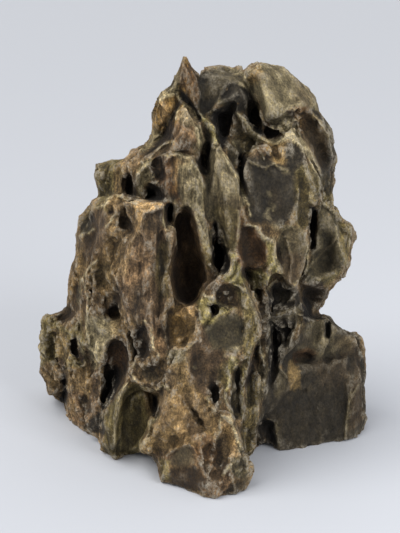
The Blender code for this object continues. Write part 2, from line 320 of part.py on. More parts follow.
# Hollows of the show side: outline on the sheet, how deep it goes in at its middle, and how
# wide its sloping wall is.
HOLLOWS = {
    "great_hollow": dict(
        outline=[(-14, 36), (-16.5, 28), (-17, 18), (-18.5, 8), (-19, 0), (-20, -8), (-18.5, -15),
                 (-16, -20), (-12, -23.5), (-8, -25), (-3, -24), (0.5, -23), (3, -17), (5, -10),
                 (4, -2), (2, 8), (-1, 20), (-3, 30), (-5, 36), (-9, 38)], depth=24, wall=5),
    "black_hollow": dict(
        outline=[(8, 27), (7.2, 14), (7.5, 4), (9, -1), (12, -5), (15, -6.5), (18.5, -4), (20.5, 1),
                 (19.5, 7), (17, 13), (14.5, 20), (12, 27), (10, 29)], depth=24, wall=3),
    "ledge_slot": dict(
        outline=[(-24, 38), (-22, 41), (-18, 42), (-16.5, 38), (-18, 33), (-20, 28), (-22, 24),
                 (-23.5, 30)], depth=14, wall=2),
    "pin_hole": dict(
        outline=[(5, -25), (8, -23), (11.5, -25), (12, -28), (9.5, -33), (7.5, -34), (6, -30)],
        depth=11, wall=2),
    "olive_cup": dict(
        outline=[(10, -17), (13, -13), (18, -12), (23, -14), (24.5, -19), (22, -24), (17, -26),
                 (12, -23)], depth=8, wall=4),
    "ochre_cup": dict(
        outline=[(-23, -30), (-18, -25), (-8, -28), (-4, -36), (-4, -47), (-10, -53), (-19, -53),
                 (-22.5, -44)], depth=14, wall=8),
    "umber_slot": dict(
        outline=[(-43, -46), (-40, -38), (-35, -37), (-32.5, -46), (-33, -55), (-37, -61), (-41, -59),
                 (-43, -52)], depth=15, wall=4),
    "arch_hollow": dict(
        outline=[(-62, -60), (-60, -50), (-55, -46), (-49, -47), (-46, -53), (-47, -64), (-51, -76),
                 (-56, -88), (-62, -93), (-64.5, -90), (-64, -76)], depth=14, wall=4),
    "arch_slot": dict(
        outline=[(-62, -75), (-58, -65), (-54, -63), (-52, -67), (-54, -77), (-58, -88), (-62, -93),
                 (-64.5, -91)], depth=21, wall=3),
    "wing_hollow": dict(
        outline=[(-84, -48), (-80, -44.5), (-77, -49), (-75.5, -57), (-76, -64), (-80, -62),
                 (-84, -56)], depth=17, wall=3),
    "wing_scoop": dict(
        outline=[(-93, -33), (-88, -27), (-81, -24), (-80, -29), (-84, -36), (-90, -38)],
        depth=9, wall=4),
    "wing_cup": dict(
        outline=[(-95, -60), (-91, -57), (-87, -60), (-87.5, -67), (-91, -68), (-94, -65)],
        depth=9, wall=3),
    "shelf_hollow": dict(
        outline=[(-51, 56), (-48, 62), (-43, 60), (-41.5, 52), (-41.5, 44), (-46, 43.5), (-50, 48)],
        depth=14, wall=4),
    "shelf_cave": dict(
        outline=[(-37, 47), (-33, 54), (-27, 52), (-22, 46), (-23, 42), (-30, 42), (-36, 43)],
        depth=14, wall=3),
    "column_scoop": dict(
        outline=[(-33, 66), (-29, 71), (-24, 71), (-21, 64), (-22, 55), (-27, 52), (-31, 57)],
        depth=10, wall=5),
    "tongue_gap": dict(
        outline=[(-2, 68), (0, 75), (4, 83), (7, 78), (7, 66), (5, 59), (1, 62)], depth=14, wall=2.5),
    "dome_hollow": dict(
        outline=[(7, 100), (12, 106), (18, 110), (24, 111), (27, 106), (25, 99), (21, 90), (18, 82),
                 (14, 77), (11, 80), (9, 90)], depth=17, wall=9),
    "dome_gap": dict(
        outline=[(28, 102), (33, 104), (36, 110), (39, 106), (40, 98), (42, 88), (38, 84), (32, 92)],
        depth=13, wall=3.5),
    "brown_hollow": dict(
        outline=[(41, 84), (42, 93), (44, 96), (48, 92), (54, 91), (56, 86), (49, 81)],
        depth=13, wall=3),
    "long_slit": dict(
        outline=[(24.5, 72), (27, 75), (29, 72), (29, 62), (30, 52), (29, 46), (26, 46), (24.5, 56)],
        depth=18, wall=2),
    "ochre_nook": dict(
        outline=[(43, 74), (45, 79), (50, 78), (54, 70), (50, 67), (45, 69)], depth=6, wall=3),
    "right_slot": dict(
        outline=[(71, 39), (74, 40), (76, 36), (76, 26), (75, 14), (72, 8), (70.5, 20)],
        depth=16, wall=2.5),
    "rust_recess": dict(
        outline=[(59, 102), (64, 105), (71, 103), (78, 92), (83, 80), (84, 66), (79, 62), (74, 72),
                 (67, 84), (62, 90)], depth=6, wall=3),
    "shoulder_recess": dict(
        outline=[(-74, 33), (-70, 34), (-68, 28), (-69, 23), (-74, 21), (-77, 25)], depth=9, wall=3),
    "cheek_cup": dict(
        outline=[(-52, 38), (-47, 41), (-41, 38), (-39, 28), (-43, 20), (-49, 19), (-53, 27)],
        depth=10, wall=6),
    "cheek_pin": dict(
        outline=[(-59, 39), (-56.5, 40), (-55, 36), (-57, 32), (-60, 34)], depth=6, wall=2),
    "cheek_slot": dict(
        outline=[(-54, -12), (-51, -15), (-51, -24), (-55, -29), (-58, -28), (-56, -20)],
        depth=10, wall=3),
    "cheek_pocket": dict(
        outline=[(-63, -29), (-58, -25), (-51, -26), (-49, -31), (-55, -34), (-61, -33)],
        depth=8, wall=3),
    "flank_groove": dict(
        outline=[(-78, 4), (-75, 8), (-72, 0), (-75, -10), (-77, -24), (-81, -30), (-83, -20),
                 (-81, -6)], depth=6, wall=3),
    "flank_dish": dict(
        outline=[(-69, 16), (-64, 22), (-60, 14), (-61, 0), (-60, -14), (-64, -20), (-69, -8),
                 (-66, 4)], depth=6, wall=4),
    "leg_groove": dict(
        outline=[(-73, -46), (-69, -44), (-67, -56), (-67, -72), (-70, -80), (-74, -66)],
        depth=7, wall=3),
    "leg_pocket": dict(
        outline=[(-79, -84), (-74, -80), (-70, -88), (-71, -98), (-76, -100), (-79, -94)],
        depth=6, wall=3),
    "far_gap": dict(
        outline=[(-90, -70), (-86, -70), (-85.5, -84), (-89, -86)], depth=14, wall=1.5),
    "apron_slot": dict(
        outline=[(6, -68), (9, -66), (12, -70), (12.5, -80), (12, -90), (9, -92), (6, -86)],
        depth=15, wall=2.5),
    "rib_flute": dict(
        outline=[(20, -64), (25, -62), (28, -70), (27, -84), (27, -98), (22, -99), (19, -88)],
        depth=8, wall=3),
    "rib_slit": dict(
        outline=[(36, -52), (38.5, -50), (37, -62), (33, -74), (30, -82), (28, -76), (32, -64)],
        depth=12, wall=2.5),
    "apron_valley": dict(
        outline=[(-29, -16), (-24, -14), (-23, -28), (-24, -44), (-27, -56), (-31, -46), (-30, -30)],
        depth=8, wall=4),
    "column_flute": dict(
        outline=[(-27, 24), (-23, 26), (-22, 8), (-24, -12), (-28, -10), (-28, 8)], depth=4, wall=3),
    "neck_slot": dict(
        outline=[(44, -24), (48, -21), (50, -30), (52, -44), (52, -60), (49, -74), (46, -82),
                 (44, -70), (45, -54), (44, -38)], depth=17, wall=3.5),
    "neck_pocket": dict(
        outline=[(46, -14), (52, -8), (60, -12), (63, -20), (58, -27), (48, -26)], depth=8, wall=4),
    "low_neck_pocket": dict(
        outline=[(50, -34), (57, -34), (63, -40), (60, -50), (53, -57), (50, -46)], depth=8, wall=4),
    "shield_foot": dict(
        outline=[(62, -8), (70, -10), (81, -16), (79, -24), (73, -31), (68, -28), (63, -20)],
        depth=13, wall=6),
    "block_notch": dict(
        outline=[(81, -34), (84, -33), (86, -40), (84, -48), (81, -46)], depth=9, wall=2),
    "block_dish": dict(
        outline=[(72, -37), (79, -34), (80, -44), (77, -52), (71, -48)], depth=5, wall=3),
    "block_pocket": dict(
        outline=[(58, -58), (64, -54), (72, -55), (76, -61), (68, -64), (60, -63)], depth=7, wall=2.5),
    "block_foot_gap": dict(
        outline=[(36, -100), (48, -102), (50, -124), (34, -126)], depth=10, wall=2),
    "apron_groove": dict(
        outline=[(-13, -83), (-9, -84), (0, -95), (7, -107), (3, -109), (-5, -99), (-11, -91)],
        depth=8, wall=2),
    "panel_flute": dict(
        outline=[(-50, -86), (-44, -80), (-37, -84), (-37, -100), (-42, -120), (-50, -120),
                 (-51, -104)], depth=7, wall=4),
    "panel_gap": dict(
        outline=[(-31, -83), (-27, -82), (-25, -92), (-28, -101), (-32, -98)], depth=9, wall=2),
    "cup_slit": dict(
        outline=[(49.5, 14), (52.5, 13), (54, 3), (52, -2), (50, 4)], depth=7, wall=1.5),
    "brown_cup": dict(
        outline=[(26, 27), (32, 28), (38, 22), (43, 14), (42, 4), (37, -1), (28, -1), (24, 6),
                 (24, 18)], depth=10, wall=7),
    "lip_notch": dict(
        outline=[(27, 1), (31, 2), (35, -6), (34, -12), (30, -9)], depth=9, wall=2.5),
    "shield_flute": dict(
        outline=[(62, 62), (68, 66), (71, 50), (69, 26), (64, 20), (62, 40)], depth=5, wall=4),
    "bulge_face": dict(
        outline=[(78, 28), (86, 24), (89, 10), (92, -2), (84, -6), (76, -4), (76, 12)], depth=5, wall=4),
    "dome_foot": dict(
        outline=[(54, 99), (58, 100), (62, 92), (66, 84), (60, 88), (54, 92)], depth=7, wall=3),
    "shelf_flute": dict(
        outline=[(-63, 60), (-58, 62), (-57, 50), (-60, 43), (-64, 46)], depth=6, wall=3),
    "horn_gap": dict(
        outline=[(-13, 113), (-10, 112), (-4, 103), (1, 96), (1, 90), (-5, 97), (-11, 106)],
        depth=11, wall=2.5),
    "blade_gap": dict(
        outline=[(-15, 110), (-12, 108), (-16, 98), (-23, 84), (-28, 81), (-24, 92)],
        depth=9, wall=2.5),
}
HOLLOW_REACH = 26.0
HOLLOW_RAGGED = 1.3
OVAL_RAGGED = 0.35

# Hollows of the other sides, laid out in the same way by looking level from that heading.
OTHER_SIDES = {
    90: [
        dict(at=(-14, -62), half=(9, 26), depth=12, edge=3, slant=-6),
        dict(at=(20, -78), half=(10, 20), depth=12, edge=3, slant=10),
        dict(at=(42, -60), half=(8, 24), depth=13, edge=3),
        dict(at=(2, 8), half=(9, 24), depth=12, edge=3, slant=8),
        dict(at=(30, 24), half=(8, 20), depth=12, edge=3, slant=-10),
        dict(at=(54, -14), half=(8, 22), depth=12, edge=3, slant=6),
        dict(at=(14, 68), half=(8, 18), depth=10, edge=3, slant=12),
        dict(at=(38, 78), half=(7, 18), depth=10, edge=3, slant=-8),
        dict(at=(-34, -98), half=(7, 14), depth=8, edge=3),
        dict(at=(60, -96), half=(8, 14), depth=10, edge=3, slant=14),
    ],
    180: [
        dict(at=(-78, -84), half=(9, 22), depth=12, edge=3, slant=6),
        dict(at=(-62, -28), half=(9, 28), depth=14, edge=3, slant=-8),
        dict(at=(-56, 44), half=(9, 24), depth=13, edge=3, slant=6),
        dict(at=(-38, -74), half=(8, 26), depth=14, edge=3, slant=4),
        dict(at=(-30, 6), half=(9, 22), depth=14, edge=3, slant=-10),
        dict(at=(-34, 84), half=(9, 18), depth=11, edge=3, slant=14),
        dict(at=(-8, -34), half=(9, 26), depth=15, edge=3, slant=6),
        dict(at=(-6, 48), half=(8, 24), depth=13, edge=3, slant=-6),
        dict(at=(-12, -98), half=(8, 16), depth=12, edge=3, slant=-12),
        dict(at=(18, -84), half=(8, 22), depth=13, edge=3, slant=8),
        dict(at=(16, 2), half=(8, 22), depth=13, edge=3, slant=-8),
        dict(at=(18, 84), half=(7, 18), depth=10, edge=3, slant=10),
        dict(at=(42, -50), half=(9, 24), depth=14, edge=3, slant=-6),
        dict(at=(40, 26), half=(8, 20), depth=12, edge=3, slant=10),
        dict(at=(62, -90), half=(9, 20), depth=12, edge=3, slant=10),
        dict(at=(66, -18), half=(7, 20), depth=10, edge=3, slant=-12),
        dict(at=(88, -84), half=(8, 16), depth=10, edge=3, slant=-16),
    ],
    270: [
        dict(at=(-56, -92), half=(7, 18), depth=10, edge=3, slant=-12),
        dict(at=(-34, -44), half=(8, 22), depth=10, edge=3, slant=8),
        dict(at=(-10, -84), half=(8, 20), depth=10, edge=3, slant=-8),
        dict(at=(-6, -12), half=(8, 22), depth=10, edge=3, slant=10),
        dict(at=(22, -52), half=(8, 22), depth=10, edge=3, slant=-6),
        dict(at=(-22, 34), half=(8, 18), depth=10, edge=3, slant=-10),
        dict(at=(14, 40), half=(8, 20), depth=10, edge=3, slant=8),
        dict(at=(-6, 92), half=(7, 18), depth=9, edge=3, slant=-6),
        dict(at=(42, -94), half=(8, 14), depth=9, edge=3, slant=12),
    ],
}


def eye_frame():
    """The eye point, the middle of the sheet and the sheet's upward direction."""
    middle = Vector((0, 0, MIDDLE_HEIGHT))
    eye = middle + EYE_DISTANCE * Vector((0, -math.cos(EYE_PITCH), math.sin(EYE_PITCH)))
    upward = Vector((0, math.sin(EYE_PITCH), math.cos(EYE_PITCH)))
    return eye, middle, upward


EYE, MIDDLE, UPWARD = eye_frame()


def spot(across, up, back):
    """The place in the stone that shows at across and up, and lies this far back."""
    ray = MIDDLE + Vector((across, 0, 0)) + up * UPWARD - EYE
    return EYE + ray * ((back - EYE.y) / ray.y)


def clear_scene():
    for obj in list(bpy.data.objects):
        bpy.data.objects.remove(obj)


def add_rings(mesh, rings):
    """Joins rings of the same length into one closed skin, with a fan over each end."""
    loops = [[mesh.verts.new(p) for p in ring] for ring in rings]
    for near, far in zip(loops, loops[1:]):
        for i in range(len(near)):
            j = (i + 1) % len(near)
            mesh.faces.new((near[i], near[j], far[j], far[i]))
    for loop in (loops[0], loops[-1]):
        tip = mesh.verts.new(sum((v.co for v in loop), Vector()) / len(loop))
        for i in range(len(loop)):
            mesh.faces.new((loop[i], loop[(i + 1) % len(loop)], tip))


def add_plate(mesh, outline, crest, back, crown, thick, turn=0.0, lean=0.0, flat=0.25):
    """A crowned plate. flat is the share of the way out from the crest that stays level."""
    rings = []
    for share in (0.12, 0.4, 0.65, 0.82, 0.93, 1.0):
        slope = max(0.0, share - flat) / (1 - flat)
        ring = []
        for across, up in outline:
            a = crest[0] + share * (across - crest[0])
            u = crest[1] + share * (up - crest[1])
            front = back + turn * (a - crest[0]) + lean * (u - crest[1]) + crown * slope ** 1.8
            ring.append(spot(a, u, front))
        rings.append(ring)
    for share, behind in ((0.97, 0.45), (0.85, 0.85), (0.4, 1.0)):
        ring = []
        for across, up in outline:
            a = crest[0] + share * (across - crest[0])
            u = crest[1] + share * (up - crest[1])
            rear = back + turn * (across - crest[0]) + lean * (up - crest[1]) + crown
            ring.append(spot(a, u, rear + thick * behind))
        rings.append(ring)
    add_rings(mesh, rings)


def add_rib(mesh, at, foot, top, wide, thick, turn, lean):
    angle = math.radians(turn)
    rings = []
    for share, swell in RIB_TAPER:
        ring = []
        for along, out in RIB_SECTION:
            x = along * wide / 2 * swell
            y = out * thick / 2 * swell
            ring.append(Vector((
                at[0] + lean[0] * share + x * math.cos(angle) - y * math.sin(angle),
                at[1] + lean[1] * share + x * math.sin(angle) + y * math.cos(angle),
                foot + (top - foot) * share,
            )))
        rings.append(ring)
    add_rings(mesh, rings)


def rough_mass():
    """All plates and ribs in one object, still overlapping."""
    mesh = bmesh.new()
    for plate in PLATES.values():
        add_plate(mesh, **plate)
    for rib in RIBS:
        add_rib(mesh, **rib)
    bmesh.ops.recalc_face_normals(mesh, faces=mesh.faces)
    bmesh.ops.scale(mesh, vec=(MM, MM, MM), verts=mesh.verts)
    data = bpy.data.meshes.new("dragon_stone")
    mesh.to_mesh(data)
    mesh.free()
    stone = bpy.data.objects.new("dragon_stone", data)
    bpy.context.scene.collection.objects.link(stone)
    return stone


def apply_modifiers(obj):
    graph = bpy.context.evaluated_depsgraph_get()
    made = bpy.data.meshes.new_from_object(obj.evaluated_get(graph))
    obj.modifiers.clear()
    obj.data = made
    obj.data.name = obj.name


def remesh(obj, voxel):
    """Gives the stone one closed skin again, of even small faces."""
    modifier = obj.modifiers.new("Skin", "REMESH")
    modifier.mode = "VOXEL"
    modifier.voxel_size = voxel * MM
    modifier.adaptivity = 0.0
    apply_modifiers(obj)


def thin_out(obj, triangles):
    """Leaves about this many triangles, the small ones along the crests."""
    modifier = obj.modifiers.new("Thinned", "DECIMATE")
    modifier.ratio = triangles / (2 * len(obj.data.polygons))
    apply_modifiers(obj)


def points_of(obj):
    points = np.empty(len(obj.data.vertices) * 3)
    obj.data.vertices.foreach_get("co", points)
    return points.reshape(-1, 3) / MM


def normals_of(obj):
    normals = np.empty(len(obj.data.vertices) * 3)
    obj.data.vertices.foreach_get("normal", normals)
    return normals.reshape(-1, 3)


def set_points(obj, points):
    obj.data.vertices.foreach_set("co", (points * MM).ravel())
    obj.data.update()


def from_heading(heading, pitch=0.0):
    """The eye point for a heading in degrees, counted from the show side, and its directions."""
    turn = math.radians(heading)
    outward = Vector((math.sin(turn) * math.cos(pitch), -math.cos(turn) * math.cos(pitch), math.sin(pitch)))
    right = Vector((math.cos(turn), math.sin(turn), 0))
    upward = outward.cross(right)
    return MIDDLE + EYE_DISTANCE * outward, right, upward


def seen_from(points, eye, right, upward):
    """Across and up of many points on the sheet of an eye point, and the ray to each."""
    rays = points - np.array(eye)
    forward = np.array((MIDDLE - eye).normalized())
    scale = EYE_DISTANCE / (rays @ forward)
    across = rays @ np.array(right) * scale
    up = rays @ np.array(upward) * scale
    return across, up, rays / np.linalg.norm(rays, axis=1)[:, None]


def sampled(points, size, stretch, seed):
    """Smooth noise at many points, drawn out upright."""
    shift = Vector((seed * 17.3, seed * 9.1, seed * 5.7))
    step = Vector((1 / size, 1 / size, 1 / (size * stretch)))
    return np.array([noise.noise(Vector(p) * step + shift) for p in points])


def surface_tree(obj):
    return BVHTree.FromObject(obj, bpy.context.evaluated_depsgraph_get())


def carve_ovals(obj, hollows, heading):
    """Pushes the surface in along the line of sight, inside each hollow's ragged oval."""
    eye, right, upward = from_heading(heading)
    points = points_of(obj)
    tree = surface_tree(obj)
    across, up, rays = seen_from(points, eye, right, upward)
    ragged = 1 + OVAL_RAGGED * sampled(points, 7.0, 1.5, 3)
    push = np.zeros(len(points))
    for hollow in hollows:
        a0, u0 = hollow["at"]
        sight = MIDDLE + right * a0 + upward * u0 - eye
        hit = tree.ray_cast(eye * MM, sight.normalized())[0]
        if hit is None:
            continue
        slant = math.radians(hollow.get("slant", 0))
        along = ((across - a0) * math.cos(slant) + (up - u0) * math.sin(slant)) / hollow["half"][0]
        rise = ((up - u0) * math.cos(slant) - (across - a0) * math.sin(slant)) / hollow["half"][1]
        span = np.hypot(along, rise) * ragged
        reach = np.abs((points - np.array(hit) / MM) @ np.array(sight.normalized())) < HOLLOW_REACH
        push = np.maximum(push, np.clip(1 - span ** hollow["edge"], 0, 1) * hollow["depth"] * reach)
    set_points(obj, points + rays * push[:, None])


def depth_inside(across, up, outline):
    """How far inside an outline each spot lies, negative outside it."""
    inside = np.zeros(len(across), dtype=bool)
    near = np.full(len(across), np.inf)
    for (x0, y0), (x1, y1) in zip(outline, outline[1:] + outline[:1]):
        run = (x1 - x0, y1 - y0)
        share = ((across - x0) * run[0] + (up - y0) * run[1]) / (run[0] ** 2 + run[1] ** 2)
        share = np.clip(share, 0, 1)
        near = np.minimum(near, np.hypot(across - x0 - share * run[0], up - y0 - share * run[1]))
        if y0 != y1:
            crosses = (up > min(y0, y1)) & (up <= max(y0, y1))
            inside ^= crosses & (across < x0 + (up - y0) * run[0] / run[1])
    return np.where(inside, near, -near)


def carve_hollows(obj):
    """Sinks the hollows of the show side, with walls that slope down from ragged outlines."""
    eye, right, upward = from_heading(0, EYE_PITCH)
    points = points_of(obj)
    tree = surface_tree(obj)
    across, up, rays = seen_from(points, eye, right, upward)
    ragged = HOLLOW_RAGGED * sampled(points, 6.0, 1.6, 3)
    push = np.zeros(len(points))
    for hollow in HOLLOWS.values():
        inside = depth_inside(across, up, hollow["outline"]) + ragged
        part = np.flatnonzero(inside > 0)
        part = part[[is_seen(tree, Vector(points[i]), eye, 8.0) for i in part]]
        inside = inside[part]
        slope = np.clip(inside / hollow["wall"], 0, 1)
        bowl = slope * (2 - slope) * (0.65 + 0.35 * inside / inside.max())
        push[part] = np.maximum(push[part], hollow["depth"] * bowl)
    set_points(obj, points + rays * push[:, None])


def fold_net():
    """The folds and a few level spots between them, as triangles with a height at each corner."""
    spots, heights, lines = [], [], []
    for height, line in FOLDS:
        lines += [(len(spots) + i, len(spots) + i + 1) for i in range(len(line) - 1)]
        spots += line
        heights += [height] * len(line)
    drawn = np.array(spots)
    for across in np.arange(-140, 141, FOLD_ANCHORS):
        for up in np.arange(-168, 169, FOLD_ANCHORS):
            if np.hypot(*(drawn - (across, up)).T).min() > FOLD_REACH:
                spots.append((across, up))
                heights.append(0)
    corners = [Vector(p) for p in spots]
    net = delaunay_2d_cdt(corners, lines, [], 0, 0.01)
    own = np.array(spots)
    raised = []
    for corner, origin in zip(net[0], net[3]):
        near = origin[0] if origin else int(np.hypot(*(own - tuple(corner)).T).argmin())
        raised.append(FOLD_GAIN * heights[near])
    return np.array([tuple(c) for c in net[0]]), np.array(raised, dtype=float), net[2]


def fold(obj):
    """Lifts and sinks the show side along its folds."""
    eye, right, upward = from_heading(0, EYE_PITCH)
    points = points_of(obj)
    across, up, rays = seen_from(points, eye, right, upward)
    tree = surface_tree(obj)
    corners, raised, faces = fold_net()
    lift = np.zeros(len(points))
    for a, b, c in faces:
        (xa, ya), (xb, yb), (xc, yc) = corners[a], corners[b], corners[c]
        area = (xb - xa) * (yc - ya) - (xc - xa) * (yb - ya)
        near = (across >= min(xa, xb, xc)) & (across <= max(xa, xb, xc))
        near = np.flatnonzero(near & (up >= min(ya, yb, yc)) & (up <= max(ya, yb, yc)))
        share_b = ((across[near] - xa) * (yc - ya) - (xc - xa) * (up[near] - ya)) / area
        share_c = ((xb - xa) * (up[near] - ya) - (across[near] - xa) * (yb - ya)) / area
        within = (share_b >= 0) & (share_c >= 0) & (share_b + share_c <= 1)
        height = raised[a] + share_b * (raised[b] - raised[a]) + share_c * (raised[c] - raised[a])
        lift[near[within]] = height[within]
    seen = np.array([is_seen(tree, Vector(p), eye, 10.0) for p in points])
    set_points(obj, points - rays * (lift * seen)[:, None])


def is_seen(tree, point, eye, slack=6.0):
    """Whether nothing much stands between a point of the surface and the eye point."""
    away = point - eye
    hit = tree.ray_cast(eye * MM, away.normalized())[0]
    return hit is None or (hit / MM - eye).length > away.length - slack


def scallop(obj, size, stretch, height, show, seed):
    """Weathers the surface into shallow upright bowls that meet in sharp crests.

    show is the share of the height that is used where the show side is seen.
    """
    points = points_of(obj)
    tree = surface_tree(obj)
    seen = np.array([is_seen(tree, Vector(p), EYE, 14.0) for p in points])
    warp = sampled(points, size * 1.6, stretch, seed + 1)
    calm = np.clip(0.9 + 1.4 * sampled(points, size * 3, 1, seed + 2), 0.3, 1.4)
    move = np.empty(len(points))
    for i, point in enumerate(points):
        x, y, z = point
        cell = Vector((x / size + warp[i], y / size - warp[i], z / (size * stretch) + 0.6 * warp[i]))
        near, next_near = noise.voronoi(cell + Vector((seed, 2 * seed, 3 * seed)))[0][:2]
        move[i] = (2 * near / (near + next_near)) ** 1.6 - 0.55
    move *= calm * np.where(seen, show, 1.0) * height
    set_points(obj, points + normals_of(obj) * move[:, None])


def centre(obj):
    """Puts the middle of the stone's bounds over the origin."""
    points = points_of(obj)
    middle = (points.min(axis=0) + points.max(axis=0)) / 2
    set_points(obj, points - np.array((middle[0], middle[1], 0)))


def cut_feet(obj):
    """Cuts the stone off level with the ground, so that it stands on flat spots."""
    mesh = bmesh.new()
    bmesh.ops.create_cube(mesh, size=GROUND_SIZE * MM)
    bmesh.ops.translate(mesh, vec=(0, 0, -GROUND_SIZE / 2 * MM), verts=mesh.verts)
    cutter = bpy.data.meshes.new("ground")
    mesh.to_mesh(cutter)
    mesh.free()
    ground = bpy.data.objects.new("ground", cutter)
    ground.hide_render = True
    ground.display_type = "WIRE"
    bpy.context.scene.collection.objects.link(ground)
    modifier = obj.modifiers.new("Feet", "BOOLEAN")
    modifier.operation = "DIFFERENCE"
    modifier.object = ground
    apply_modifiers(obj)
    bpy.data.objects.remove(ground)


def finish(obj):
    """One plain stone colour, and soft shading inside each facet."""
    material = bpy.data.materials.new("stone")
    material.use_nodes = True
    shader = material.node_tree.nodes["Principled BSDF"]
    shader.inputs["Base Color"].default_value = STONE_COLOUR
    shader.inputs["Roughness"].default_value = STONE_ROUGHNESS
    obj.data.materials.append(material)
    obj.data.shade_smooth()
    obj.data.set_sharp_from_angle(angle=math.radians(40))


def main():
    clear_scene()
    stone = rough_mass()
    remesh(stone, UNION_VOXEL)
    scallop(stone, size=30, stretch=2.0, height=7.0, show=0.35, seed=5)
    for heading, hollows in OTHER_SIDES.items():
        carve_ovals(stone, hollows, heading)
    fold(stone)
    remesh(stone, UNION_VOXEL)
    carve_hollows(stone)
    remesh(stone, CARVED_VOXEL)
    scallop(stone, size=12, stretch=2.2, height=2.8, show=0.6, seed=8)
    thin_out(stone, TRIANGLES)
    cut_feet(stone)
    centre(stone)
    finish(stone)


main()
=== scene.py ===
"""Looks of the dragon stone: the carved fine surface, its minerals, and a plain pale studio.

The show side is laid out on a sheet: across and up are millimetres on a sheet through the
stone's middle, square to the line from the eye point. The camera stands at that eye point.
"""

import math

import bmesh
import bpy
import numpy as np
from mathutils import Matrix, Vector, noise
from mathutils.bvhtree import BVHTree


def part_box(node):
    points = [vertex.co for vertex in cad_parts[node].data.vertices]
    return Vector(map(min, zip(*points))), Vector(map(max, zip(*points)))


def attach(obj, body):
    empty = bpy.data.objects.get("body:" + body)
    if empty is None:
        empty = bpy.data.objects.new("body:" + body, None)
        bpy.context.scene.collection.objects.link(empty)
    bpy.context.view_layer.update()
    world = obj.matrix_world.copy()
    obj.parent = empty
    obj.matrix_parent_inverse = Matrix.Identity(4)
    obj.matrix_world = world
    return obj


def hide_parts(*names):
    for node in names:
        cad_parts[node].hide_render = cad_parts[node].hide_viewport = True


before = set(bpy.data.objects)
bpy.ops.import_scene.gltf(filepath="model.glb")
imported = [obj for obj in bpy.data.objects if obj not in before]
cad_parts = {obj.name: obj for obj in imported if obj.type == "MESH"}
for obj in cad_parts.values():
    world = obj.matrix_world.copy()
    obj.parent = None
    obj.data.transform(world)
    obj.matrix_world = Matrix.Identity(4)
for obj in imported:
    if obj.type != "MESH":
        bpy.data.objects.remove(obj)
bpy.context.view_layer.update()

MM = 0.001

# The eye point that the show side is laid out from, and where the camera stands.
EYE_DISTANCE = 800.0
EYE_PITCH = math.radians(18)
MIDDLE = Vector((-0.18, -15.85, 130.0))

# The camera: how many millimetres of the sheet a pixel shows, the frame's longer side in pixels,
# the sensor's in millimetres, and how far it sees in metres.
SHEET_MM_PER_PIXEL = 0.65
FRAME_PIXELS = 533
SENSOR_MM = 36
SIGHT_LIMIT = 50

# The seed of the vector noise, which would otherwise start from the clock.
NOISE_SEED = 1

# How finely the stone is worked: the mesh before and after the hollows are cut, how often the
# first one is smoothed, and how many triangles are left in the end.
ROUGH_VOXEL = 1.3
FINE_VOXEL = 1.0
SMOOTHING = 1
TRIANGLES = 192000

# How far in mm behind the nearest surface a spot still counts as seen, for hollows and for crests.
SEEN_SLACK = 3.0
CREST_SLACK = 4.0

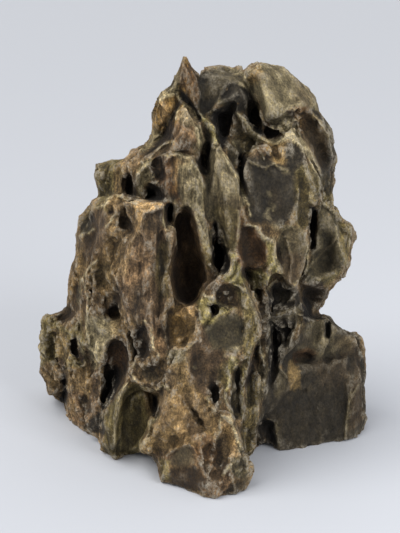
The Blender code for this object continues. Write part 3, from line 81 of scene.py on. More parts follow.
# Hollows of the show side: outline on the sheet, depth, and how wide the wall is.
PITS = {
    "great hollow": dict(
        outline=[(-14, 36), (-16.5, 28), (-17, 18), (-18.5, 8), (-19, 0), (-20, -8), (-18.5, -15),
                 (-16, -20), (-12, -23.5), (-8, -25), (-3, -24), (0.5, -23), (3, -17), (5, -10),
                 (4, -2), (2, 8), (-1, 20), (-3, 30), (-5, 36), (-9, 38)], depth=7, wall=2.5),
    "black hollow": dict(
        outline=[(8, 27), (7.2, 14), (7.5, 4), (9, -1), (12, -5), (15, -6.5), (18.5, -4), (20.5, 1),
                 (19.5, 7), (17, 13), (14.5, 20), (12, 27), (10, 29)], depth=14, wall=2),
    "ledge slot": dict(
        outline=[(-24, 38), (-22, 41), (-18, 42), (-16.5, 38), (-18, 33), (-20, 28), (-22, 24),
                 (-23.5, 30)], depth=9, wall=2),
    "pin hole": dict(
        outline=[(5, -25), (8, -23.5), (11.5, -25), (12, -28), (9.5, -33), (7.5, -34), (6, -30)],
        depth=9, wall=1.2),
    "olive cup": dict(
        outline=[(10, -17), (13, -13), (18, -12), (23, -14), (24.5, -19), (22, -24), (17, -26),
                 (12, -23)], depth=2, wall=2.5),
    "ochre cup": dict(
        outline=[(-23, -30), (-18, -25), (-8, -28), (-4, -36), (-4, -47), (-10, -53), (-19, -53),
                 (-22.5, -44)], depth=2.4, wall=2.5),
    "umber slot": dict(
        outline=[(-43, -46), (-40, -38), (-35, -37), (-32.5, -46), (-33, -55), (-37, -61), (-41, -59),
                 (-43, -52)], depth=3, wall=2.5),
    "arch hollow": dict(
        outline=[(-62, -60), (-60, -50), (-55, -46), (-49, -47), (-46, -53), (-47, -64), (-51, -76),
                 (-56, -88), (-62, -93), (-64.5, -90), (-64, -76)], depth=2, wall=2.5),
    "arch slot": dict(
        outline=[(-62, -75), (-58, -65), (-54, -63), (-52, -67), (-54, -77), (-58, -88), (-62, -93),
                 (-64.5, -91)], depth=5, wall=2),
    "wing hollow": dict(
        outline=[(-84, -48), (-80, -44.5), (-77, -49), (-75.5, -57), (-76, -64), (-80, -62),
                 (-84, -56)], depth=4.5, wall=2),
    "wing scoop": dict(
        outline=[(-93, -33), (-88, -27), (-81, -24), (-80, -29), (-84, -36), (-90, -38)],
        depth=2, wall=2.5),
    "wing cup": dict(
        outline=[(-95, -60), (-91, -57), (-87, -60), (-87.5, -67), (-91, -68), (-94, -65)],
        depth=1.6, wall=2.5),
    "shelf hollow": dict(
        outline=[(-51, 56), (-48, 62), (-43, 60), (-41.5, 52), (-41.5, 44), (-46, 43.5), (-50, 48)],
        depth=4, wall=2.5),
    "shelf cave": dict(
        outline=[(-37, 47), (-33, 54), (-27, 52), (-22, 46), (-23, 42), (-30, 42), (-36, 43)],
        depth=5, wall=2.5),
    "column scoop": dict(
        outline=[(-33, 66), (-29, 71), (-24, 71), (-21, 64), (-22, 55), (-27, 52), (-31, 57)],
        depth=3, wall=2.5),
    "tongue gap": dict(
        outline=[(1, 69), (3.5, 76), (4.5, 83), (7.5, 78), (7.5, 66), (5, 59), (2, 62)], depth=6, wall=2),
    "tongue foot": dict(
        outline=[(-18, 76.5), (-10, 75), (-4, 74), (-1, 72), (-6, 71), (-12, 72.5), (-18, 74)],
        depth=4, wall=1),
    "dome hollow": dict(
        outline=[(9, 98), (13, 101), (20, 100), (24, 95), (22, 90), (24, 82), (18, 80), (11, 82),
                 (9, 92)], depth=7, wall=4),
    "dome gap": dict(
        outline=[(30, 98), (34, 104), (38, 108), (40, 98), (41, 91), (36, 88), (31, 93)],
        depth=5, wall=2.5),
    "brown hollow": dict(
        outline=[(41, 82), (43, 88), (48, 92), (54, 90), (55, 85), (49, 81)], depth=4, wall=2.5),
    "long slit": dict(
        outline=[(25, 72), (28, 72), (28.5, 62), (29.5, 52), (29, 46), (26, 46), (24.5, 56)],
        depth=9, wall=1.5),
    "ochre nook": dict(
        outline=[(43, 74), (45, 79), (50, 78), (54, 70), (50, 67), (45, 69)], depth=1.6, wall=2.5),
    "nook hole": dict(outline=[(43, 73), (46, 72), (46, 69), (43, 69)], depth=5, wall=1.2),
    "right slot": dict(
        outline=[(71, 39), (74, 40), (76, 36), (76, 26), (75, 14), (72, 8), (70.5, 20)],
        depth=8, wall=2),
    "rust recess": dict(
        outline=[(61, 103), (68, 104), (71, 97), (69, 89), (63, 88), (60, 95)], depth=1.6, wall=2.5),
    "shoulder recess": dict(
        outline=[(-74, 33), (-70, 34), (-68, 28), (-69, 23), (-74, 21), (-77, 25)], depth=2, wall=2.5),
    "cheek cup": dict(
        outline=[(-52, 38), (-47, 41), (-41, 38), (-39, 28), (-43, 20), (-49, 19), (-53, 27)],
        depth=1.5, wall=2.5),
    "cheek pin": dict(
        outline=[(-59, 39), (-56.5, 40), (-55.5, 36), (-57, 32.5), (-59.5, 34)], depth=2, wall=1.5),
    "cheek slot": dict(
        outline=[(-54, -12), (-51, -15), (-51, -24), (-55, -29), (-58, -28), (-56, -20)],
        depth=2, wall=2.5),
    "cheek pocket": dict(
        outline=[(-63, -29), (-58, -25), (-51, -26), (-49, -31), (-55, -34), (-61, -33)],
        depth=1.6, wall=2.5),
    "apron slot": dict(
        outline=[(6, -68), (9, -66), (12, -70), (12.5, -80), (12, -90), (9, -92), (6, -86)],
        depth=3, wall=2),
    "rib flute": dict(
        outline=[(20, -64), (25, -62), (28, -70), (27, -84), (27, -98), (22, -99), (19, -88)],
        depth=1.5, wall=2.5),
    "rib slit": dict(
        outline=[(36, -52), (38.5, -50), (37, -62), (33, -74), (30, -82), (28, -76), (32, -64)],
        depth=3, wall=2),
    "neck slot": dict(
        outline=[(44, -24), (48, -21), (50, -30), (52, -44), (52, -60), (49, -74), (46, -82),
                 (44, -70), (45, -54), (44, -38)], depth=4, wall=2.5),
    "block notch": dict(
        outline=[(81, -36), (84, -35), (85, -41), (84, -47), (81.5, -46)], depth=6, wall=1.5),
    "block dish": dict(
        outline=[(73, -36), (80, -34), (80, -44), (76, -50), (72, -46)], depth=1.5, wall=2.5),
    "block pocket": dict(
        outline=[(58, -58), (64, -55), (72, -56), (75, -61), (68, -63), (60, -62)], depth=1.6, wall=2),
    "block corner": dict(
        outline=[(38, -103), (48, -101), (50, -120), (40, -118)], depth=2, wall=2),
    "gouge": dict(
        outline=[(-12, -85), (-9, -86), (0, -96), (6, -106), (4, -108), (-4, -99), (-10, -91)],
        depth=1.2, wall=1.5),
    "panel gap": dict(
        outline=[(-30, -86), (-27, -85), (-26.5, -95), (-28, -101), (-31, -98)], depth=4, wall=1.5),
    "cup slit": dict(outline=[(50, 13), (52, 12), (53, 3), (52, 0), (50.5, 4)], depth=4, wall=1),
    "brown cup": dict(
        outline=[(27, 26), (32, 27), (38, 22), (43, 14), (42, 4), (37, -1), (28, -1), (24, 6),
                 (24.5, 18)], depth=2, wall=2.5),
    "lip notch": dict(
        outline=[(27, 1), (31, 2), (35, -6), (34, -12), (30, -9)], depth=4, wall=2),
    "shield foot": dict(
        outline=[(65, -10), (75, -12), (81, -18), (80, -24), (74, -31), (68, -30), (63, -20)],
        depth=2, wall=2.5),
    "horn gap": dict(
        outline=[(-13, 113), (-10, 112), (-4, 103), (1, 96), (0, 92), (-5, 98), (-11, 106)],
        depth=2.8, wall=2),
    "blade gap": dict(
        outline=[(-15, 109), (-13, 108), (-17, 98), (-24, 84), (-27, 82), (-23, 92)],
        depth=2.4, wall=1.5),
    "neck pocket": dict(
        outline=[(45, -18), (50, -10), (60, -12), (63, -20), (60, -27), (48, -28)], depth=1.5, wall=2.5),
    "low neck pocket": dict(
        outline=[(46, -36), (56, -34), (62, -40), (58, -50), (52, -56), (47, -46)], depth=1.5, wall=2.5),
    "far gap": dict(
        outline=[(-89, -70), (-86, -70), (-86, -84), (-89, -85)], depth=7, wall=1.5),
}

# Floors of hollows that stand nearer than in the solid: outline, height, and width of the slope.
FLOORS = [
    dict(outline=[(-54, -122), (-55, -108), (-52, -94), (-47, -82), (-42, -78), (-34, -80), (-28, -84),
                  (-27, -98), (-33, -104), (-38, -114), (-41, -122)], height=6, slope=5),
    dict(outline=[(-63, -62), (-59, -52), (-54, -49), (-49, -50), (-47, -58), (-49, -70), (-53, -66),
                  (-58, -68)], height=7, slope=5),
    dict(outline=[(-22, -30), (-15, -27), (-6, -28), (-4, -38), (-5, -48), (-11, -52), (-19, -52),
                  (-22, -44)], height=9, slope=6),
    dict(outline=[(11, -17), (14, -14), (19, -14), (22, -16), (22, -21), (18, -24), (13, -21)],
         height=5, slope=3),
    dict(outline=PITS["apron slot"]["outline"], height=6, slope=2),
    dict(outline=PITS["rib flute"]["outline"], height=4, slope=3),
    dict(outline=[(6, 100), (10, 109), (20, 113), (28, 108), (26, 99), (18, 97), (10, 98)],
         height=6, slope=4),
    dict(outline=[(-42, -44), (-38, -39), (-34, -42), (-34, -54), (-38, -58), (-42, -54)],
         height=4, slope=3),
]

# Sharp crests and thin edges of the show side.
CRESTS = [
    dict(line=[(-45, 44), (-42, 54), (-38, 63), (-33, 66), (-30, 58)], height=2, width=3),
    dict(line=[(-48, 16), (-43, 18), (-40, 22), (-38, 30), (-36, 35), (-30, 36.5), (-24, 39)],
         height=2, width=3),
    dict(line=[(-16, 34), (-18, 16), (-19.5, 2), (-20, -12), (-16, -21), (-9, -26), (0, -24)],
         height=2, width=2.5),
    dict(line=[(-24, 66), (-19, 72), (-14, 73), (-6, 70), (0, 62), (3, 52)], height=1.5, width=3),
    dict(line=[(1, 98), (6, 93), (11, 87), (13.5, 81), (10, 72)], height=2, width=2.5),
    dict(line=[(25, 99), (30, 95), (34, 89), (41, 82), (49, 80), (54, 83), (60, 86), (65, 80),
               (71, 75), (75, 66), (78, 60), (77, 50), (79, 42), (87, 36)], height=2, width=3),
    dict(line=[(72, 100), (78, 93), (83, 86), (85, 72)], height=1.5, width=2.5),
    dict(line=[(7, 1), (10, -6), (15, -8), (20, -4), (22, 4), (26, 7), (27, 1), (24, -6), (20, -11),
               (25, -13), (29, -16)], height=2, width=2.5),
    dict(line=[(-22, -44), (-20, -53), (-10, -54), (-3, -48)], height=1.5, width=2),
    dict(line=[(28, 38), (25, 24), (24, 10), (30, -2), (40, -6), (48, 2), (49, 15), (41, 20),
               (36, 27)], height=1.5, width=2.5),
    dict(line=[(-47, 16), (-48, 6), (-57, -5), (-52, -13), (-48, -27), (-46, -38)],
         height=2, width=3),
    dict(line=[(-84, -2), (-79, -10), (-77, -24), (-78, -36)], height=2, width=3),
    dict(line=[(-64, -88), (-64, -66), (-61, -49), (-53, -45), (-46, -50), (-44, -60)],
         height=1.5, width=2.5),
    dict(line=[(-44, -68), (-49, -77), (-53, -87), (-55, -101), (-56, -118)], height=2.5, width=2.5),
    dict(line=[(-37, -118), (-34, -110), (-32, -100), (-26, -90)], height=2, width=2.5),
    dict(line=[(29, -14), (36, -28), (38, -42), (33, -57), (30, -74), (28, -88), (29, -100)],
         height=2, width=2.5),
    dict(line=[(14, -97), (19, -99), (24, -107), (28, -119)], height=2, width=2),
    dict(line=[(-13, -84), (-6, -95), (4, -105)], height=1.5, width=2),
    dict(line=[(40, -36), (48, -32), (60, -29), (70, -34)], height=2, width=2),
    dict(line=[(3, 97), (8, 102), (13, 110), (18, 119), (24, 120), (31, 115), (33, 107)],
         height=1.5, width=2),
    dict(line=[(-24, -124), (-15, -118), (-8, -115.5), (-4, -118), (-1, -126), (4, -136)],
         height=1.5, width=2),
    dict(line=[(57, 16), (60, 4), (58, -10), (64, -14), (70, -6)], height=1.5, width=2),
]

# Thin broken crests of the show side, by the tone painted along them: pale crust, partly a painted
# highlight.
THIN_CRESTS = {
    "chalk": [
        [(-28, 104), (-26, 109), (-21, 111), (-15, 112), (-13, 108), (-11, 106)],
        [(-16, 96), (-15, 100), (-12, 104), (-9, 105), (-5, 102), (-1, 96), (1, 89), (3, 82), (3, 74)],
        [(10, 77), (13, 77), (17, 71), (20, 64), (25, 58), (27, 51), (29, 46), (31, 40), (33, 33)],
        [(46, 90), (52, 89), (55, 86), (60, 86), (64, 83)],
        [(-41, 60), (-37, 59), (-33, 60)],
        [(-31, 60), (-28, 55)],
        [(-38, 68), (-36, 66), (-39, 61)],
        [(-67, 38), (-62, 40), (-60, 44), (-56, 47), (-51, 45), (-46, 43), (-42, 41)],
        [(-61, 26), (-58, 30), (-55, 34)],
        [(-76, -8), (-74, -16), (-72, -24), (-74, -34), (-73, -43), (-71, -52)],
        [(-36, -35), (-33, -40), (-31, -46), (-31, -52), (-27, -58)],
        [(-43, -62), (-45, -70), (-42, -74), (-38, -76), (-36, -79), (-28, -80), (-24, -77), (-20, -80)],
        [(14, -98), (18, -98), (21, -104), (24, -112), (27, -119)],
        [(31, 27), (36, 26), (39, 22), (43, 18), (48, 16), (49, 8), (50, 2), (53, -4)],
        [(9, -2), (12, -5), (15, -7), (19, -4), (21, 0)],
        [(0, -15), (3, -19), (8, -20), (12, -24), (18, -27)],
        [(34, -9), (36, -16), (37, -22)],
        [(21, -60), (23, -63), (22, -67)],
    ],
    "pale": [
        [(-33, 70), (-28, 76), (-24, 79), (-17, 81)],
        [(-25, 73), (-20, 71), (-16, 74), (-11, 72), (-5, 71)],
        [(29, 123), (31, 118), (34, 112), (37, 106), (40, 99), (41, 95)],
        [(55, 101), (58, 103), (62, 102)],
        [(60, 97), (63, 94), (64, 88), (66, 82)],
        [(-22, 115), (-20, 121), (-17, 125), (-15, 131)],
        [(-78, 20), (-73, 21), (-69, 24)],
        [(-75, -6), (-71, 0), (-67, 4)],
        [(-78, -8), (-78, -16), (-79, -24)],
        [(-24, 39), (-24, 30), (-22, 24), (-20, 26), (-16, 28)],
        [(-80, -45), (-79, -50), (-76, -57)],
        [(-32, -99), (-33, -106), (-34, -112), (-38, -116), (-39, -121)],
        [(20, -71), (19, -77), (16, -82), (17, -88), (20, -94), (21, -99)],
        [(27, -72), (27, -90), (28, -96), (27, -100)],
        [(13, -100), (13, -106), (11, -112)],
        [(-3, 34), (0, 26), (1, 18)],
        [(12, 26), (15, 20), (17, 13), (18, 9)],
        [(25, 36), (26, 26), (24, 18), (23, 11)],
        [(53, -4), (50, -8), (46, -12), (43, -16)],
        [(70, 12), (69, 0), (68, -4), (63, -10), (60, -14)],
        [(79, 41), (84, 38), (87, 35)],
        [(88, 26), (90, 14), (92, 8), (96, 2)],
        [(-3, -27), (0, -29), (0, -34)],
        [(5, -85), (6, -90), (9, -94)],
        [(14, -136), (18, -132), (20, -129)],
    ],
    "grey": [
        [(-30, 82), (-25, 87), (-22, 92), (-19, 98), (-16, 101)],
        [(31, 70), (34, 67), (42, 64), (48, 67), (53, 63), (57, 63)],
        [(64, 50), (64, 44), (63, 38), (62, 32)],
        [(36, 82), (37, 77), (40, 73), (42, 70)],
        [(70, 0), (76, 5), (84, 13), (88, 18)],
        [(44, -33), (52, -30), (60, -28), (66, -24)],
        [(62, -30), (62, -38), (59, -48)],
        [(66, -32), (66, -38)],
        [(38, -46), (39, -54), (40, -60)],
        [(45, -40), (45, -48), (43, -58)],
        [(103, -77), (97, -88), (95, -100), (94, -112)],
        [(50, -64), (53, -68), (56, -72)],
        [(82, -34), (86, -40), (86, -48)],
        [(27, -123), (30, -128), (31, -133)],
    ],
}
THIN_HEIGHT = 1.1
THIN_WIDTH = 1.6

# Where the horn stands across the sheet, and how far it reaches to either side.
HORN_MIDDLE = -10.5
HORN_REACH = 22

# How the horn is narrowed, before and after it is carved: from where up to where on the sheet,
# and by which share of the way to its middle each side is drawn in.
HORN_BODY = dict(low=108, high=124, left=0.5, right=0.1)
HORN_TIP = dict(low=124, high=136, left=0.5, right=0.55)

# Flat broken faces of the show side.
FACETS = [
    [(33, 68), (46, 66), (52, 62), (60, 60), (61, 40), (58, 30), (50, 26), (38, 27), (33, 40)],
    [(54, 22), (66, 26), (70, 8), (64, -8), (57, -2)],
    [(7, -32), (20, -30), (27, -36), (26, -50), (14, -57), (4, -50)],
    [(46, -106), (46, -88), (59, -74), (76, -63), (97, -57), (96, -80), (95, -109), (70, -115),
     (51, -118)],
    [(-19, -128), (-14, -119), (-8, -116.5), (-5, -119), (-4, -127), (-10, -130)],
    [(-18, -132), (-5, -130), (0, -134), (-8, -140), (-19, -138)],
    [(-42, 41), (-30, 41), (-25, 40), (-30, 37), (-36, 36), (-40, 38)],
    [(-36, 34), (-26, 37), (-24, 24), (-30, 16), (-38, 22)],
    [(44, 124), (54, 122), (62, 116), (66, 106), (56, 102), (46, 106), (42, 114)],
    [(-51, -80), (-42, -76), (-34, -84), (-36, -104), (-42, -118), (-51, -116)],
]

# How plane a broken face becomes, how far its edge takes to get there, and how far in front of
# or behind its middle a spot may be and still belong to it.
FACET_SHARE = 0.85
FACET_EDGE = 2.0
FACET_DEPTH = 14

# Where the show side is calm, crusted or fluted: how strongly, and the outline.
CALM = [
    (1.0, [(31, 70), (46, 68), (56, 62), (62, 50), (60, 32), (50, 28), (34, 28), (31, 50)]),
    (0.8, [(52, 22), (66, 26), (70, 8), (64, -8), (57, -14), (53, 0)]),
    (1.0, [(46, -66), (60, -50), (76, -34), (100, -46), (106, -80), (104, -110), (50, -122), (44, -96)]),
    (0.8, [(4, 76), (14, 76), (28, 50), (30, 40), (22, 10), (12, 28), (3, 40)]),
    (0.8, [(34, 128), (54, 128), (74, 110), (74, 102), (56, 102), (42, 98), (36, 112)]),
    (0.9, [(0, 120), (12, 127), (28, 122), (34, 108), (26, 98), (10, 104), (2, 104)]),
    (0.9, [(74, 36), (84, 36), (92, 20), (92, 2), (84, -8), (70, -8), (74, 14)]),
    (0.9, [(4, -34), (24, -30), (30, -40), (26, -56), (8, -54), (2, -44)]),
    (0.8, [(-50, -82), (-44, -76), (-34, -80), (-30, -98), (-38, -114), (-42, -121), (-54, -122)]),
    (1.0, [(-22, -126), (-14, -118), (-6, -116), (-3, -128), (4, -138), (-4, -146), (-20, -142)]),
    (0.9, [(-18, 34), (-3, 36), (6, 4), (6, -14), (-4, -25), (-18, -20), (-20, 0)]),
    (0.7, [(64, 86), (74, 92), (84, 84), (86, 66), (78, 60), (70, 76)]),
    (0.6, [(25, 26), (38, 24), (44, 10), (38, -2), (26, 0)]),
    (0.6, [(-24, -28), (-6, -26), (-2, -36), (-6, -52), (-20, -54)]),
    (0.6, [(-46, 20), (-38, 34), (-24, 38), (-18, 20), (-20, -24), (-28, -50), (-40, -40), (-48, -12),
           (-54, -5), (-48, 2)]),
    (0.6, [(-30, -84), (-12, -82), (6, -94), (12, -110), (0, -120), (-20, -119), (-34, -116)]),
    (0.5, [(-10, -56), (14, -58), (18, -66), (4, -68), (6, -88), (-8, -86)]),
    (0.5, [(-74, 30), (-62, 38), (-56, 10), (-66, -14), (-78, -4)]),
    (0.6, [(-32, 60), (-24, 72), (-12, 72), (0, 60), (2, 38), (-12, 38), (-26, 50)]),
    (0.8, [(-34, 104), (-14, 142), (-2, 134), (0, 104), (-10, 104), (-20, 84), (-38, 76)]),
    (0.5, [(-18, 80), (-12, 104), (-2, 102), (4, 76), (-8, 72)]),
    (0.7, [(-62, -122), (-64, -96), (-50, -78), (-44, -76), (-52, -122)]),
]
CRUSTED = [
    (1.0, [(-46, -74), (-45, -60), (-30, -54), (-18, -54), (-14, -66), (-20, -82), (-38, -78)]),
    (0.8, [(-62, 40), (-54, 48), (-44, 40), (-52, 0), (-56, -24), (-72, -26), (-76, 0), (-64, 14)]),
    (0.9, [(-106, -32), (-92, -32), (-78, -36), (-64, -50), (-66, -98), (-84, -106), (-106, -80)]),
    (0.8, [(-38, -122), (-30, -98), (-14, -82), (4, -82), (12, -100), (10, -116), (-8, -114),
           (-24, -124)]),
    (0.9, [(0, -122), (14, -120), (30, -126), (30, -140), (20, -150), (2, -146)]),
    (0.7, [(-16, 98), (-9, 106), (0, 94), (2, 80), (-8, 74), (-16, 80)]),
    (0.6, [(-58, -2), (-46, 18), (-30, 8), (-28, -40), (-44, -40), (-52, -20)]),
]
FLUTED = [
    (1.0, [(-30, 104), (-12, 138), (-2, 130), (0, 102), (-8, 104), (-20, 84), (-30, 82)]),
    (1.0, [(-32, 60), (-24, 72), (-12, 72), (0, 60), (2, 38), (-12, 38), (-26, 50)]),
    (0.8, [(-46, 20), (-38, 34), (-24, 38), (-18, 20), (-20, -24), (-28, -56), (-40, -44), (-50, -10)]),
    (0.8, [(-68, 64), (-52, 66), (-50, 46), (-64, 44)]),
    (0.6, [(-84, 4), (-76, 6), (-72, -30), (-84, -30)]),
    (0.8, [(22, -10), (36, -16), (44, -60), (40, -100), (32, -124), (20, -100), (26, -60)]),
    (0.5, [(-52, -82), (-30, -82), (-32, -104), (-42, -121), (-54, -121)]),
    (0.6, [(-62, -94), (-50, -78), (-46, -76), (-54, -98), (-55, -124), (-61, -120)]),
    (0.5, [(3, 60), (10, 76), (28, 50), (22, 12), (12, 28), (3, 40)]),
]
# How far in mm the edges of those regions fade.
REGION_FADE = 4.0
# How strongly the sides that are turned away are crusted, fluted, and calm in patches.
OTHER_CRUST = 0.35
OTHER_FLUTES = 0.4
OTHER_CALM = 0.85

# Cells that cover the stone: their size in mm, how far they are drawn out upright, the seed, the
# heights of their bowls and tilted faces, their share on calm spots, and what rough spots add.
CELLS = [
    dict(size=15.0, stretch=2.6, seed=11, bowl=3.0, facet=2.8, calm=0.08, rough=0.92),
    dict(size=5.5, stretch=2.0, seed=14, bowl=0.8, facet=1.5, calm=0.04, rough=0.8),
]
# Wider tilted faces on the calm spots alone.
CALM_CELLS = dict(size=24.0, stretch=1.3, seed=16, facet=2.2)

# Planes: rounds of work, and how far two faces may turn apart and still be drawn into one.
CHISEL = dict(rounds=18, bend=0.4)
# Crests: over how many neighbours they are measured, how strongly and how far at most in mm they
# are drawn out.
SHARPEN = dict(rounds=3, strength=1.4, most=1.0)

# How far in mm the ridges between flutes stand up.
FLUTE_HEIGHT = 0.6
# Crumbs of the crust: height and size in mm, their share where there is no crust, and the seed.
CRUMBS = [
    (1.0, 2.6, 0.04, 19),
    (0.5, 1.7, 0.3, 20),
]


def points_of(obj):
    """The places of a mesh's points, in millimetres."""
    points = np.empty(len(obj.data.vertices) * 3)
    obj.data.vertices.foreach_get("co", points)
    return points.reshape(-1, 3) / MM


def normals_of(obj):
    """The outward direction at each point of a mesh."""
    normals = np.empty(len(obj.data.vertices) * 3)
    obj.data.vertices.foreach_get("normal", normals)
    return normals.reshape(-1, 3)


def set_points(obj, points):
    """Moves a mesh's points to places given in millimetres."""
    obj.data.vertices.foreach_set("co", (points * MM).ravel())
    obj.data.update()


def store(obj, name, values):
    """Keeps a value for each point, under a name that the material reads."""
    layer = obj.data.attributes.new(name, "FLOAT", "POINT")
    layer.data.foreach_set("value", values)


def edges_of(obj):
    """The two points that each edge joins."""
    edges = np.empty(len(obj.data.edges) * 2, dtype=np.int64)
    obj.data.edges.foreach_get("vertices", edges)
    return edges.reshape(-1, 2)


def triangles_of(obj):
    """The three points of each triangle."""
    obj.data.calc_loop_triangles()
    corners = np.empty(len(obj.data.loop_triangles) * 3, dtype=np.int32)
    obj.data.loop_triangles.foreach_get("vertices", corners)
    return corners.reshape(-1, 3).astype(np.int64)


def surface_tree(obj):
    """The surface, ready for rays to be shot at it."""
    return BVHTree.FromObject(obj, bpy.context.evaluated_depsgraph_get())


def fade(values, low, high):
    """Soft steps from 0 at low to 1 at high."""
    share = np.clip((values - low) / (high - low), 0, 1)
    return share * share * (3 - 2 * share)


def sampled(points, size, stretch=1.0, seed=0):
    """Smooth noise between about -1 and 1. size is in millimetres, stretch draws it out upright."""
    shift = Vector((seed * 17.3, seed * 9.1, seed * 5.7))
    step = Vector((1 / size, 1 / size, 1 / (size * stretch)))
    return np.array([noise.noise(Vector(p) * step + shift) for p in points])


def spread(values, edges, rounds):
    """Averages values over each point's neighbours, again and again."""
    count = np.bincount(edges.ravel(), minlength=len(values)) + 1.0
    for _ in range(rounds):
        total = values.copy()
        total += np.bincount(edges[:, 0], values[edges[:, 1]], len(values))
        total += np.bincount(edges[:, 1], values[edges[:, 0]], len(values))
        values = total / count
    return values


def softened(points, edges, rounds):
    """Where the points would be if each moved towards its neighbours."""
    return np.stack([spread(points[:, k], edges, rounds) for k in range(3)], axis=1)


def neighbours_of(corners):
    """The two triangles at each shared edge."""
    sides = np.sort(np.vstack([corners[:, [0, 1]], corners[:, [1, 2]], corners[:, [2, 0]]]), axis=1)
    keys = sides[:, 0] * (corners.max() + 1) + sides[:, 1]
    order = np.argsort(keys, kind="stable")
    same = np.flatnonzero(keys[order][1:] == keys[order][:-1])
    owners = np.tile(np.arange(len(corners)), 3)
    return owners[order[same]], owners[order[same + 1]]


def gathered(places, vectors, count):
    """Adds up the vectors that belong to each place."""
    return np.stack([np.bincount(places, vectors[:, k], count) for k in range(3)], axis=1)


def chisel(obj, rounds, bend):
    """Turns soft bends into planes that meet in sharp crests and creases."""
    points = points_of(obj)
    corners = triangles_of(obj)
    first, second = neighbours_of(corners)
    a, b, c = (points[corners[:, k]] for k in range(3))
    faces = np.cross(b - a, c - a)
    area = np.linalg.norm(faces, axis=1)[:, None] + 1e-9
    faces /= area
    for _ in range(rounds):
        likeness = np.exp(-((faces[first] - faces[second]) ** 2).sum(axis=1) / (2 * bend ** 2))[:, None]
        total = faces * area
        total += gathered(first, likeness * (faces * area)[second], len(faces))
        total += gathered(second, likeness * (faces * area)[first], len(faces))
        faces = total / np.linalg.norm(total, axis=1)[:, None]
    count = np.bincount(corners.ravel(), minlength=len(points))[:, None] + 1e-9
    for _ in range(rounds):
        middle = points[corners].mean(axis=1)
        move = np.zeros_like(points)
        for spot in corners.T:
            pull = ((middle - points[spot]) * faces).sum(axis=1)[:, None] * faces
            move += gathered(spot, pull, len(points))
        points = points + move / count
    set_points(obj, points)


def sharpen(obj, rounds, strength, most):
    """Draws crests out and sinks creases, as far as they bend, up to most."""
    points = points_of(obj)
    move = (points - softened(points, edges_of(obj), rounds)) * strength
    length = np.linalg.norm(move, axis=1)[:, None] + 1e-9
    set_points(obj, points + move * np.tanh(length / most) * most / length)


def apply_modifiers(obj):
    bpy.context.view_layer.objects.active = obj
    for modifier in list(obj.modifiers):
        bpy.ops.object.modifier_apply(modifier=modifier.name)


def remesh(obj, voxel):
    """Makes the skin new from small squares, voxel millimetres wide."""
    modifier = obj.modifiers.new("Skin", "REMESH")
    modifier.mode = "VOXEL"
    modifier.voxel_size = voxel * MM
    modifier.adaptivity = 0.0
    apply_modifiers(obj)


def thin_out(obj):
    """Takes triangles away where the skin is plainest."""
    faces = sum(len(face.vertices) - 2 for face in obj.data.polygons)
    modifier = obj.modifiers.new("Thinned", "DECIMATE")
    modifier.ratio = min(1.0, TRIANGLES / faces)
    apply_modifiers(obj)


def eye_point():
    """Where the show side is looked at from, in millimetres."""
    return MIDDLE + EYE_DISTANCE * Vector((0, -math.cos(EYE_PITCH), math.sin(EYE_PITCH)))


def on_sheet(points):
    """Across and up of many points, the unit ray to each from the eye point, and its length."""
    eye = eye_point()
    rays = points - np.array(eye)
    forward = np.array((MIDDLE - eye).normalized())
    upward = np.array((0, math.sin(EYE_PITCH), math.cos(EYE_PITCH)))
    scale = EYE_DISTANCE / (rays @ forward)
    far = np.linalg.norm(rays, axis=1)
    return rays[:, 0] * scale, rays @ upward * scale, rays / far[:, None], far


def seen_spots(obj, points, far, slack):
    """Which points nothing hides from the eye point."""
    tree = surface_tree(obj)
    eye = eye_point()
    seen = np.zeros(len(points), dtype=bool)
    for i, point in enumerate(points):
        hit = tree.ray_cast(eye * MM, Vector(point) - eye)[3]
        seen[i] = hit is None or hit / MM > far[i] - slack
    return seen


def depth_inside(across, up, outline):
    """How far inside an outline each spot lies, negative outside it."""
    inside = np.zeros(len(across), dtype=bool)
    near = np.full(len(across), 1e9)
    for (x0, y0), (x1, y1) in zip(outline, outline[1:] + outline[:1]):
        run = (x1 - x0, y1 - y0)
        share = ((across - x0) * run[0] + (up - y0) * run[1]) / (run[0] ** 2 + run[1] ** 2)
        share = np.clip(share, 0, 1)
        near = np.minimum(near, np.hypot(across - x0 - share * run[0], up - y0 - share * run[1]))
        if y0 != y1:
            crosses = (up > min(y0, y1)) & (up <= max(y0, y1))
            inside ^= crosses & (across < x0 + (up - y0) * run[0] / run[1])
    return np.where(inside, near, -near)


def near_outline(across, up, outline, margin):
    """The spots within a margin of the outline's own rectangle."""
    xs, ys = zip(*outline)
    return np.flatnonzero((across > min(xs) - margin) & (across < max(xs) + margin)
                          & (up > min(ys) - margin) & (up < max(ys) + margin))


def line_wander(points):
    """How far the crest lines wander to the side at each point."""
    return 0.8 * sampled(points, 6.0, 1.5, 6)


def carve_pits(obj):
    """Cuts the walls of the hollows sharper, just inside their ragged outlines, and raises floors."""
    points = points_of(obj)
    across, up, rays, far = on_sheet(points)
    seen = seen_spots(obj, points, far, SEEN_SLACK)
    ragged = 0.9 * sampled(points, 5.0, 1.6, 3) + 0.5 * sampled(points, 2.2, 1.6, 4)
    push = np.zeros(len(points))

    def depth_in(outline):
        """The seen points near an outline, and how far inside its ragged edge each lies."""
        part = near_outline(across, up, outline, 4)
        part = part[seen[part]]
        return part, depth_inside(across[part], up[part], outline) + ragged[part]

    for pit in PITS.values():
        part, inside = depth_in(pit["outline"])
        slope = np.clip(inside / pit["wall"], 0, 1)
        push[part] = np.maximum(push[part], pit["depth"] * slope * (2 - slope))
    for raised in FLOORS:
        part, inside = depth_in(raised["outline"])
        push[part] -= raised["height"] * fade(inside, 0, raised["slope"])
    set_points(obj, points + rays * push[:, None])


